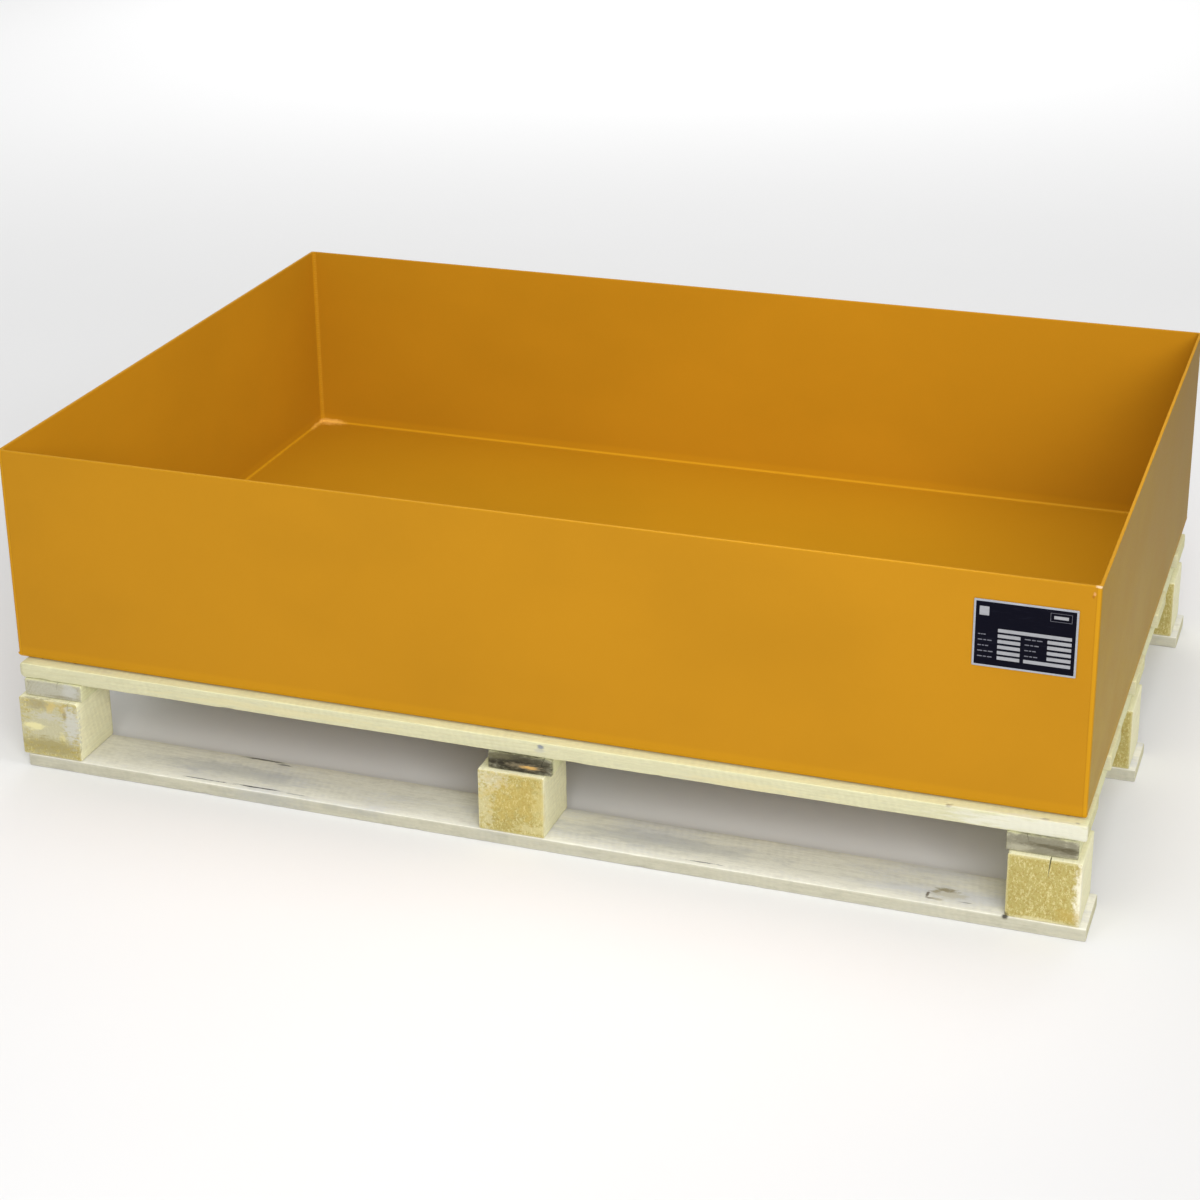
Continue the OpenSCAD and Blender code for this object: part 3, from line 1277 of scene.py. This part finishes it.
    def _runner_marks(self) -> tuple[Mark, ...]:
        """Lists the dark streaks, worn places and the knot's shadow on the front runner.

        Returns:
            The marks.
        """
        ink, worn, long_breaks = tint(44, 44, 52), tint(168, 170, 172), (0.09, 0.5, 0.5)
        return (
            Mark((-371, -402.5, 15), (33, 0.9, 3), ink, 0.85, 0.75, long_breaks),
            Mark((-309, -401.5, 15), (34, 1.5, 3), ink, 0.95, 0.7, long_breaks),
            Mark((-262, -403, 15), (18, 0.8, 3), ink, 0.7, 0.9, long_breaks),
            Mark((-326, -341, 15), (30, 2.0, 3), ink, 0.8, 0.7, long_breaks),
            Mark((-302, -345, 15), (10, 2.0, 3), ink, 0.6, 0.8, long_breaks),
            Mark((206, -403, 15), (22, 0.9, 3), ink, 0.75, 1.0, (0.16, 0.5, 0.5)),
            Mark((481, -397, 15), (8, 0.9, 3), tint(96, 90, 76), 0.8, 0.5),
            Mark((523.5, -409, 14), (4, 2.4, 4), tint(34, 28, 20), 0.9, 0.4),
            Mark((-350, -374, 15), (110, 20, 4), worn, 0.4, 0.7, (0.03, 0.08, 0.1)),
            Mark((140, -376, 15), (150, 18, 4), worn, 0.4, 0.7, (0.03, 0.08, 0.1)),
            Mark((470, -386, 15), (60, 14, 4), tint(214, 216, 220), 0.4, 0.8, (0.04, 0.1, 0.2)),
            Mark((461, -386, 15), (22, 9, 4), tint(196, 190, 164), 0.6, 0.7),
            Mark((459, -379, 15), (13, 4.2, 4), tint(146, 134, 100), 0.8, 0.8),
            Mark((449, -385, 15), (7, 3.4, 4), tint(156, 145, 112), 0.7, 0.7),
            Mark((441.5, -392, 15), (2.0, 7.5, 4), tint(84, 70, 42), 0.85, 0.5),
            Mark((445, -399, 15), (4.5, 1.8, 4), tint(98, 84, 54), 0.75, 0.6),
            Mark((452, -399, 15), (8, 2.4, 4), tint(170, 160, 130), 0.6, 0.7),
        )

    def build_runners(self) -> None:
        """Makes the three runners; the front one has the streaks, the knot and the slit."""
        knots = {
            "middle": (Knot((-250, -20, 15), (11, 9, 9)),),
            "back": (Knot((300, 328, 15), (10, 9, 9)),),
        }
        for i, row in enumerate(ROWS):
            Timber(
                f"runner_{row}",
                "runner_wood",
                Stock.RUNNER,
                Grain.ALONG_X,
                seed=70 + i,
                marks=self._runner_marks() if row == "front" else (),
                knots=knots.get(row, ()),
                seats=self._runner_seats(row),
            ).build()

    def dress_nails(self) -> None:
        """Gives the CAD nails their steel."""
        steel = DrivenSteel().material()
        for node in ("long_nails", "short_nails", "runner_nails"):
            dress(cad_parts[node], steel)
            report(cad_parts[node])

    def build(self) -> None:
        """Makes the whole pallet."""
        self.build_deck()
        self.build_cross_boards()
        self.build_blocks()
        self.build_runners()
        self.dress_nails()


# ---------------------------------------------------------------- tray


@dataclass(frozen=True)
class PowderCoat:
    """Satin yellow-orange powder coat on sheet steel.

    Attributes:
        coat: The even colour.
        thin_coat_and_highlight: The slightly paler colour where the coat is thin on an edge, also laid on as
            painted highlight along bends and the rim and as painted floor bounce at the tray's foot.
        shadow: The darker line at a weld's toe.
        dust_and_sheen_top: The dull film on the outer end walls, at the rim: dust, with a painted sheen in
            its grey-green tone.
        dust_and_sheen_foot: The same film at the foot, lighter there with painted floor bounce.
        dust_and_sheen_right: How well the film covers the right end wall.
        dust_and_sheen_left: How well it covers the left one.
        rough: The usual roughness.
        marks: Bare or chipped places.
    """

    coat: Colour = (0.425, 0.195, 0.008)
    thin_coat_and_highlight: Colour = (0.58, 0.29, 0.008)
    shadow: Colour = (0.27, 0.11, 0.002)
    dust_and_sheen_top: Colour = (0.235, 0.165, 0.012)
    dust_and_sheen_foot: Colour = (0.33, 0.262, 0.06)
    dust_and_sheen_right: float = 0.64
    dust_and_sheen_left: float = 0.25
    rough: float = 0.42
    marks: Sequence[Mark] = ()

    def _film(self, graph: Graph, low: Vector, high: Vector) -> tuple[Wire, Wire, Wire]:
        """Returns the dull film on the outer end walls: dust with a painted sheen, lighter at the foot with
        painted floor bounce and darker towards the back with painted shade.

        Args:
            graph: The graph to add to.
            low: The tray's lowest corner, in millimetres.
            high: Its highest corner.

        Returns:
            How well the film covers, how patchy it is, and its colour.
        """
        point = graph.place()
        x, y, z = graph.parts(point)
        side = graph.parts(graph.facing())[0]
        haze = graph.cloud(point, (0.01, 0.01, 0.016), 4.0, 0.6)
        # Painted floor bounce: the film turns lighter towards the foot.
        height = graph.ease(z + (haze - 0.5) * 90.0, low.z, high.z)
        # Painted shade: the film darkens from the front of the wall towards the back.
        painted_falloff = graph.ease(haze, 0.3, 0.7, 0.9, 1.1) * graph.ease(y, low.y, high.y, 1.1, 0.68)
        film = graph.shade(graph.blend(height, self.dust_and_sheen_foot, self.dust_and_sheen_top), painted_falloff)
        right = graph.ease(side, 0.75, 0.97) * graph.ease(high.x - x, 1.4, 0.6, 0.0, self.dust_and_sheen_right)
        left = graph.ease(side, -0.75, -0.97) * graph.ease(x - low.x, 1.4, 0.6, 0.0, self.dust_and_sheen_left)
        return right + left, graph.ease(haze, 0.25, 0.6, 0.85, 1.0), film

    def material(self, name: str, low: Vector, high: Vector, toe: float) -> bpy.types.Material:
        """Makes the paint.

        Args:
            name: The material's name.
            low: The tray's lowest corner, in millimetres.
            high: Its highest corner.
            toe: The distance of the weld's toe from a corner.

        Returns:
            The material.
        """
        graph = Graph(name)
        point = graph.place()
        x, y, z = graph.parts(point)
        peel = graph.cloud(point, (0.55, 0.55, 0.55), 2.0)
        dust = graph.cloud(point, (1.7, 1.7, 1.7), 2.0)
        tone = graph.cloud(point, (0.004, 0.004, 0.006), 3.0)
        buckle = graph.cloud(point, (0.0045, 0.0045, 0.0065), 2.0)
        ripple = graph.cloud(point, (0.02, 0.02, 0.012), 2.0)

        mottle = graph.ease(tone, 0.3, 0.7, 0.965, 1.035) * graph.ease(dust, 0.3, 0.7, 0.985, 1.015)
        colour = graph.shade(self.coat, mottle)
        dust_and_sheen_share, patchy, film = self._film(graph, low, high)
        # The end walls' film is dust together with a painted sheen and painted floor bounce.
        colour = graph.blend(dust_and_sheen_share * patchy, colour, film)

        # Painted light: the paler band on the bends is painted highlight, at the foot painted floor bounce,
        # and at the rim painted highlight over thinner coat.
        level = abs(graph.parts(graph.facing())[2])
        bend = graph.ease(level, 0.08, 0.4) * graph.ease(level, 0.99, 0.8)
        foot = graph.ease(z, low.z + 17.0, low.z + 11.0)
        rim = graph.ease(z, high.z - 1.6, high.z - 0.4)
        for share in (bend * 0.5, foot * 0.2, rim * 0.3):
            colour = graph.blend(share, colour, self.thin_coat_and_highlight)

        corner = (x - low.x).math("MINIMUM", high.x - x)
        front = graph.ease((y - low.y).math("MINIMUM", high.y - y), 1.0, 0.4)
        wander = (graph.cloud(point, (0.05, 0.05, 0.05), 2.0) - 0.5) * 1.2
        line = graph.ease(abs(corner - toe + wander), 0.75, 0.25) * front
        ground = graph.ease(corner, toe, toe - 1.0) * front
        colour = graph.blend(ground * 0.4, colour, self.thin_coat_and_highlight)
        colour = graph.blend(line * 0.22, colour, self.shadow)
        for mark in self.marks:
            colour = mark.paint(graph, point, colour)

        rough = self.rough + (peel - 0.5) * 0.1 + (tone - 0.5) * 0.12 + rim * 0.25 + dust_and_sheen_share * 0.15
        relief = peel * 0.035 + dust * 0.006 + buckle * 1.6 + ripple * 0.12 - line * 0.08
        return graph.surface(colour, rough, relief, Specular_IOR_Level=0.055)


@dataclass
class SumpTray:
    """The folded tray with its four corner welds.

    Attributes:
        sheet: The sheet's thickness.
        leg: The length of wall that a weld takes up.
        fillet: The leg of the fillet inside.
        bead: The distance between the weld's ripples.
        edge: The rounding of the sheet's cut edges.
        ripple: The height of the weld's ripples inside.
        low: The tray's lowest corner.
        high: Its highest corner.
    """

    sheet: float = 3.0
    leg: float = 5.0
    fillet: float = 4.0
    bead: float = 3.4
    edge: float = 0.45
    ripple: float = 0.55
    low: Vector = field(init=False)
    high: Vector = field(init=False)

    def __post_init__(self) -> None:
        """Reads the tray's place from the CAD frame."""
        low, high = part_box("tray_pan")
        self.low, self.high = low / MM, high / MM

    def _paint(self) -> bpy.types.Material:
        """Makes the paint with the tray's chipped places and a painted glint and highlight at the inner
        back-left corner.

        Returns:
            The material.
        """
        chip, pale = tint(222, 200, 168), tint(226, 176, 84)
        left, back, floor = self.low.x + self.sheet, self.high.y - self.sheet, self.low.z + self.sheet
        right, front, top = self.high.x, self.low.y, self.high.z
        fine = (0.3, 0.3, 0.3)
        marks = (
            Mark((right - 2.5, front, top), (4.6, 3, 1.9), chip, 0.85, 0.6, fine),
            Mark((right - 7, front, top - 8), (1.7, 2, 2.4), tint(206, 150, 96), 0.75, 0.5, fine),
            Mark((right - 8, front, top - 11), (1.5, 2, 2.0), tint(150, 92, 30), 0.7, 0.5, fine),
            # Painted glint at the inner back-left corner's foot, and painted highlight along the left wall's
            # inner foot.
            Mark((left + 12, back - 4, floor + 2), (26, 10, 4), pale, 0.85, 0.6, (0.08, 0.12, 0.2)),
            Mark((left + 2, back - 22, floor + 2), (4, 20, 3), pale, 0.6, 0.7, (0.1, 0.08, 0.2)),
        )
        return PowderCoat(marks=marks).material("powder_coat", self.low, self.high, self.leg)

    def _section(self, height: float) -> list[tuple[float, float]]:
        """Returns a weld's outline at one height, from its corner inwards.

        Args:
            height: The height, which moves the ripples.

        Returns:
            The outline, as distances from the two outer walls.
        """
        s, leg, f = self.sheet, self.leg, self.fillet
        beat = 0.5 + 0.5 * math.sin(2 * math.pi * height / self.bead)
        wobble = noise.noise(Vector((height * 0.11, 1.7, 4.2)))
        flat = 0.06 * beat + 0.05 * (1 + wobble)
        points = [(s, flat), ((s + leg) / 2, flat), (leg, 0.02), (leg, s), (s + f + 0.3 * wobble, s)]
        reach = f - self.ripple * beat - 0.25 * (1 + wobble)
        for turn in (15, 30, 45, 60, 75):
            angle = math.radians(270 - turn)
            points.append((s + f + reach * math.cos(angle), s + f + reach * math.sin(angle)))
        points += [(s, s + f + 0.3 * wobble), (s, leg), (0.02, leg), (flat, (s + leg) / 2), (flat, s)]
        for turn in (22.5, 45, 67.5):
            angle = math.radians(180 + turn)
            points.append((s + (s - flat) * math.cos(angle), s + (s - flat) * math.sin(angle)))
        return points

    def _weld(self, side: str, end: str) -> bpy.types.Object:
        """Makes one corner weld with its ripples.

        Args:
            side: "front" or "back".
            end: "left" or "right".

        Returns:
            The piece.
        """
        node = f"weld_{side}_{end}"
        bottom, top = (corner.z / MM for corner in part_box(node))
        x0, sx = (self.low.x, 1) if end == "left" else (self.high.x, -1)
        y0, sy = (self.low.y, 1) if side == "front" else (self.high.y, -1)
        count = round((top - bottom) / (self.bead / 4))
        rings = []
        for i in range(count + 1):
            z = bottom + (top - bottom) * i / count
            rings.append([Vector((x0 + sx * a, y0 + sy * b, z)) for a, b in self._section(z)])
        points = [p for ring in rings for p in ring]
        n = len(rings[0])
        faces = stack(n, len(rings)) + [tuple(range(n)), tuple(range(len(points) - n, len(points)))]
        piece = piece_from("bead_" + node, points, faces)
        soften(piece, 40.0)
        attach(piece, "tray")
        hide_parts(node)
        return piece

    def build(self) -> None:
        """Dresses the folded sheet and makes the welds."""
        paint = self._paint()
        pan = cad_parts["tray_pan"]
        dress(pan, paint)
        round_off = pan.modifiers.new("cut_edges", "BEVEL")
        round_off.width, round_off.segments, round_off.limit_method = self.edge * MM, 2, "ANGLE"
        round_off.angle_limit = math.radians(50)
        report(pan)
        for side in ("front", "back"):
            for end in ("left", "right"):
                weld = self._weld(side, end)
                dress(weld, paint)
                report(weld)


# ---------------------------------------------------------------- nameplate


@dataclass(frozen=True)
class PlateFinish:
    """The nameplate's printed and bare surfaces.

    Attributes:
        metal: Brushed aluminium, for the rim.
        polished: The brighter lines of the brushing.
        field: The dark printed field.
        blank: The pale writing fields.
        faint: The small print, which is only dashes.
        scuffed: Scuffs on the dark field.
        dirty: Dirt on the pale print.
    """

    metal: Colour = tint(158, 162, 172)
    polished: Colour = tint(176, 180, 186)
    field: Colour = (0.0022, 0.0022, 0.0065)
    blank: Colour = tint(152, 153, 157)
    faint: Colour = tint(98, 99, 108)
    scuffed: Colour = tint(70, 72, 88)
    dirty: Colour = tint(128, 129, 132)

    def metal_material(self) -> bpy.types.Material:
        """Makes the brushed rim.

        Returns:
            The material.
        """
        graph = Graph("plate_metal")
        point = graph.place()
        brushed = graph.cloud(point, (0.05, 4.0, 3.0), 3.0, 0.6)
        colour = graph.blend(graph.ease(brushed, 0.3, 0.7), self.metal, self.polished)
        rough = graph.ease(brushed, 0.2, 0.8, 0.28, 0.44)
        return graph.surface(colour, rough, brushed * 0.02, Metallic=0.7)

    def field_material(self) -> bpy.types.Material:
        """Makes the dark print with faint scuffs.

        Returns:
            The material.
        """
        graph = Graph("plate_field")
        point = graph.place()
        scuff = graph.cloud(point, (0.05, 0.3, 0.4), 4.0, 0.65)
        grain = graph.cloud(point, (1.4, 1.4, 1.4), 2.0)
        colour = graph.blend(graph.ease(scuff, 0.58, 0.75, 0.0, 0.08), self.field, self.scuffed)
        rough = graph.ease(scuff, 0.3, 0.7, 0.3, 0.46)
        return graph.surface(colour, rough, grain * 0.008 + scuff * 0.01, Specular_IOR_Level=0.05)

    def pale_material(self, name: str, pale: Colour) -> bpy.types.Material:
        """Makes one pale print, a little dirty.

        Args:
            name: The material's name.
            pale: Its clean colour.

        Returns:
            The material.
        """
        graph = Graph(name)
        point = graph.place()
        dirt = graph.cloud(point, (0.12, 0.3, 0.5), 3.0, 0.6)
        brushed = graph.cloud(point, (0.06, 4.0, 3.0), 2.0)
        colour = graph.blend(graph.ease(dirt, 0.4, 0.7, 0.0, 0.4), pale, self.dirty)
        rough = graph.ease(dirt, 0.3, 0.7, 0.4, 0.55)
        return graph.surface(colour, rough, brushed * 0.012, Metallic=0.25)


@dataclass(frozen=True)
class FoamTape:
    """Dark grey foam tape behind the nameplate, with its paler cell walls."""

    grey: Colour = tint(58, 58, 60)
    pale: Colour = tint(74, 74, 76)

    def material(self) -> bpy.types.Material:
        """Makes the tape's finish.

        Returns:
            The material.
        """
        graph = Graph("foam_tape")
        cells = graph.cloud(graph.place(), (1.9, 1.9, 1.9), 3.0, 0.6)
        colour = graph.shade(graph.blend(cells, self.grey, self.pale), graph.ease(cells, 0.3, 0.7, 0.9, 1.1))
        return graph.surface(colour, graph.ease(cells, 0.2, 0.8, 0.8, 0.95), cells * 0.15)


class Print(Enum):
    """The surfaces of the nameplate, as its material slots."""

    RIM = 0
    FIELD = 1
    BLANK = 2
    FAINT = 3


class Slabs:
    """Upright slabs with round corners, gathered for one piece."""

    TURNS = 5
    CHAMFER = 0.12

    def __init__(self) -> None:
        """Starts with none."""
        self.points: list[Vector] = []
        self.faces: Faces = []
        self.slots: list[int] = []

    def add(self, box: Span, radius: float, back: float, front: float, surface: Print) -> None:
        """Adds one slab with a small chamfer on its front.

        Args:
            box: Its left, right, bottom and top.
            radius: The radius of its corners.
            back: Its back, along Y.
            front: Its front, along Y, which is the smaller number.
            surface: What it is printed with.
        """
        left, right, bottom, top = box
        chamfer = min(0.4 * (back - front), self.CHAMFER)
        corners = ((right, top), (left, top), (left, bottom), (right, bottom))
        start, n, before = len(self.points), 4 * self.TURNS, len(self.faces)
        for y, inset in ((back, 0.0), (front + chamfer, 0.0), (front, chamfer)):
            for k, (cx, cz) in enumerate(corners):
                middle_x = cx - (radius if cx == right else -radius)
                middle_z = cz - (radius if cz == top else -radius)
                for i in range(self.TURNS):
                    angle, reach = math.radians(90 * k + 22.5 * i), radius - inset
                    x, z = middle_x + reach * math.cos(angle), middle_z + reach * math.sin(angle)
                    self.points.append(Vector((x, y, z)))
        self.faces += stack(n, 3, start)
        self.faces += [tuple(range(start, start + n)), tuple(range(start + 2 * n, start + 3 * n))]
        self.slots += [surface.value] * (len(self.faces) - before)


@dataclass
class Nameplate:
    """The nameplate on its pad: a bare rim, a dark field and blank writing fields.

    Places on the plate are shares of its width from its left and of its height from its top.

    Attributes:
        rim: The width of the bare rim.
        corner: The radius of the plate's corners.
        print_step: The height of each printed layer.
        sunk: How deep the print's slabs reach into the plate.
        rows: The heights of the rows of writing fields.
        bar: A writing field's height.
        dash: A label dash's height.
        left_dashes: The lengths of the left label dashes, of the longest one.
        right_dashes: The lengths of the right ones.
        breaks: The parts of a dash, as shares of its length.
    """

    rim: float = 2.0
    corner: float = 1.0
    print_step: float = 0.05
    sunk: float = 0.2
    rows: Sequence[float] = (0.437, 0.518, 0.600, 0.683, 0.767, 0.848)
    bar: float = 0.053
    dash: float = 0.017
    left_dashes: Sequence[float] = (0.5, 0.9, 0.7, 1.0, 0.95)
    right_dashes: Sequence[float] = (1.0, 0.8, 0.65, 0.75)
    breaks: Sequence[tuple[float, float]] = ((0.0, 0.34), (0.4, 0.62), (0.68, 1.0))

    def _bars(self) -> list[Span]:
        """Places the writing fields.

        Returns:
            The left, right, top and bottom of each, as shares of the plate.
        """
        first, *others = self.rows
        bars = [(0.24, 0.945, first)]
        bars += [(0.24, 0.46, v) for v in others]
        bars += [(0.715, 0.945, v) for v in others[:-1]]
        bars += [(0.495, 0.945, others[-1])]
        return [(u0, u1, v - self.bar / 2, v + self.bar / 2) for u0, u1, v in bars]

    def _dashes(self) -> list[Span]:
        """Places the broken dashes that stand where labels would.

        Returns:
            The left, right, top and bottom of each part, as shares of the plate.
        """
        dashes = [(0.05, 0.15 * share, v) for share, v in zip(self.left_dashes, self.rows[1:])]
        dashes += [(0.5, 0.17 * share, v) for share, v in zip(self.right_dashes, self.rows[1:5])]
        return [
            (u + a * wide, u + b * wide, v - self.dash / 2, v + self.dash / 2)
            for u, wide, v in dashes
            for a, b in self.breaks
        ]

    def _print(self, slabs: Slabs) -> None:
        """Lays the plate, its dark field and its print.

        Args:
            slabs: The slabs, which grow.
        """
        low, high = (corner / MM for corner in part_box("nameplate"))
        wide, tall, face = high.x - low.x, high.z - low.z, low.y + 2 * self.print_step
        slabs.add((low.x, high.x, low.z, high.z), self.corner, high.y, face, Print.RIM)
        inner = (low.x + self.rim, high.x - self.rim, low.z + self.rim, high.z - self.rim)
        slabs.add(inner, 0.8, face + 0.3, face - self.print_step, Print.FIELD)

        square, badge = (0.055, 0.15, 0.1, 0.235), (0.765, 0.905, 0.115, 0.163)
        level = ((0.73, 0.94, 0.075, 0.082), (0.73, 0.94, 0.196, 0.203))
        upright = ((0.731, 0.736, 0.0825, 0.1955), (0.934, 0.939, 0.0825, 0.1955))
        layers = (
            (self._bars(), 0.5, Print.BLANK),
            (self._dashes(), 0.2, Print.FAINT),
            ((square,), 0.6, Print.BLANK),
            ((badge,), 0.4, Print.BLANK),
            (level + upright, 0.2, Print.FAINT),
        )
        for spans, radius, surface in layers:
            for u0, u1, v0, v1 in spans:
                box = (low.x + u0 * wide, low.x + u1 * wide, high.z - v1 * tall, high.z - v0 * tall)
                slabs.add(box, radius, face + self.sunk, face - 2 * self.print_step, surface)

    def build(self) -> None:
        """Makes the plate and dresses the pad behind it."""
        slabs = Slabs()
        self._print(slabs)
        piece = piece_from("printed_nameplate", slabs.points, slabs.faces)
        soften(piece)
        finish = PlateFinish()
        blank = finish.pale_material("plate_blank", finish.blank)
        faint = finish.pale_material("plate_small_print", finish.faint)
        dress(piece, finish.metal_material(), finish.field_material(), blank, faint)
        for polygon, slot in zip(piece.data.polygons, slabs.slots):
            polygon.material_index = slot
        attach(piece, "tray")
        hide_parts("nameplate")
        report(piece)
        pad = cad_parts["nameplate_pad"]
        dress(pad, FoamTape().material())
        report(pad)


# ---------------------------------------------------------------- studio


@dataclass(frozen=True)
class Softbox:
    """A large soft lamp.

    Attributes:
        name: Its name.
        place: Its place, in metres.
        width: Its width.
        height: Its height.
        power: Its power in watts.
        aim: The point that it faces.
    """

    name: str
    place: Triple
    width: float
    height: float
    power: float
    aim: Triple = (0.0, 0.0, 0.2)

    def build(self) -> None:
        """Hangs the lamp where it lights the object without showing itself."""
        lamp = bpy.data.lights.new(self.name, "AREA")
        lamp.shape, lamp.size, lamp.size_y, lamp.energy = "RECTANGLE", self.width, self.height, self.power
        held = bpy.data.objects.new(self.name, lamp)
        held.location = self.place
        held.visible_camera = False
        held.rotation_euler = (Vector(self.aim) - Vector(self.place)).to_track_quat("-Z", "Y").to_euler()
        bpy.context.scene.collection.objects.link(held)


@dataclass
class Studio:
    """The camera, the pale floor and the soft light.

    Attributes:
        eye: The camera's place, in metres.
        turn: Its rotation in degrees.
        lens: Its focal length in millimetres.
        shift: How far its picture is shifted upright.
        floor_radius: The floor's radius in metres.
        floor_near: The floor's two tones under the object.
        floor_far: Its tone far away.
        floor_turn: The distances in millimetres over which the one turns into the other.
        ambient: The strength of the light from all round.
        lamps: The lamps.
    """

    eye: Triple = (0.8649, -2.5751, 1.3441)
    turn: Triple = (68.6185, 0.6271, 19.1931)
    lens: float = 74.9
    shift: float = -0.11
    floor_radius: float = 40.0
    floor_near: tuple[Colour, Colour] = ((0.79, 0.79, 0.79), (0.82, 0.82, 0.82))
    floor_far: Colour = (0.96, 0.96, 0.96)
    floor_turn: tuple[float, float] = (1500.0, 3600.0)
    ambient: float = 0.54
    lamps: Sequence[Softbox] = (
        Softbox("key", (2.2, -4.45, 2.7), 3.2, 2.2, 222.0),
        Softbox("top", (-0.3, -0.2, 4.4), 4.0, 4.0, 32.0),
        Softbox("back_fill", (-1.5, 4.8, 2.2), 3.0, 2.0, 60.0),
        Softbox("inner", (0.5, -0.3, 1.05), 0.7, 0.5, 7.0, (-0.9, 0.25, 0.45)),
    )

    def _camera(self) -> None:
        """Sets up the camera."""
        data = bpy.data.cameras.new("camera")
        data.lens, data.sensor_width, data.shift_y = self.lens, 36.0, self.shift
        data.dof.use_dof = False
        data.clip_start, data.clip_end = 0.05, 200.0
        camera = bpy.data.objects.new("camera", data)
        camera.location = self.eye
        camera.rotation_euler = Euler([math.radians(t) for t in self.turn], "XYZ")
        bpy.context.scene.collection.objects.link(camera)
        bpy.context.scene.camera = camera

    def _floor(self) -> None:
        """Lays the floor."""
        solid = bmesh.new()
        bmesh.ops.create_circle(solid, cap_ends=True, segments=96, radius=self.floor_radius)
        mesh = bpy.data.meshes.new("studio_floor")
        solid.to_mesh(mesh)
        solid.free()
        floor = bpy.data.objects.new("studio_floor", mesh)
        bpy.context.scene.collection.objects.link(floor)
        graph = Graph("studio_floor")
        point = graph.place()
        tone = graph.cloud(point, (0.002, 0.002, 0.002), 2.0)
        far = graph.ease(graph.vector("LENGTH", point), *self.floor_turn)
        colour = graph.blend(far, graph.blend(tone, *self.floor_near), self.floor_far)
        rough = graph.ease(tone, 0.3, 0.7, 0.85, 0.95)
        dress(floor, graph.surface(colour, rough, tone * 0.1, Specular_IOR_Level=0.1))

    def _surroundings(self) -> None:
        """Lights the room evenly and keeps the colours plain."""
        world = bpy.data.worlds.new("studio")
        world.use_nodes = True
        backdrop = world.node_tree.nodes["Background"]
        backdrop.inputs["Color"].default_value = (1.0, 1.0, 1.0, 1.0)
        backdrop.inputs["Strength"].default_value = self.ambient
        bpy.context.scene.world = world
        bpy.context.scene.view_settings.view_transform = "Standard"

    def build(self) -> None:
        """Makes the studio."""
        self._camera()
        self._floor()
        self._surroundings()
        for lamp in self.lamps:
            lamp.build()


def main() -> None:
    """Builds the scene."""
    logging.basicConfig(level=logging.INFO, format="%(name)s: %(message)s")
    Studio().build()
    WoodPallet().build()
    SumpTray().build()
    Nameplate().build()


if __name__ == "__main__":
    main()
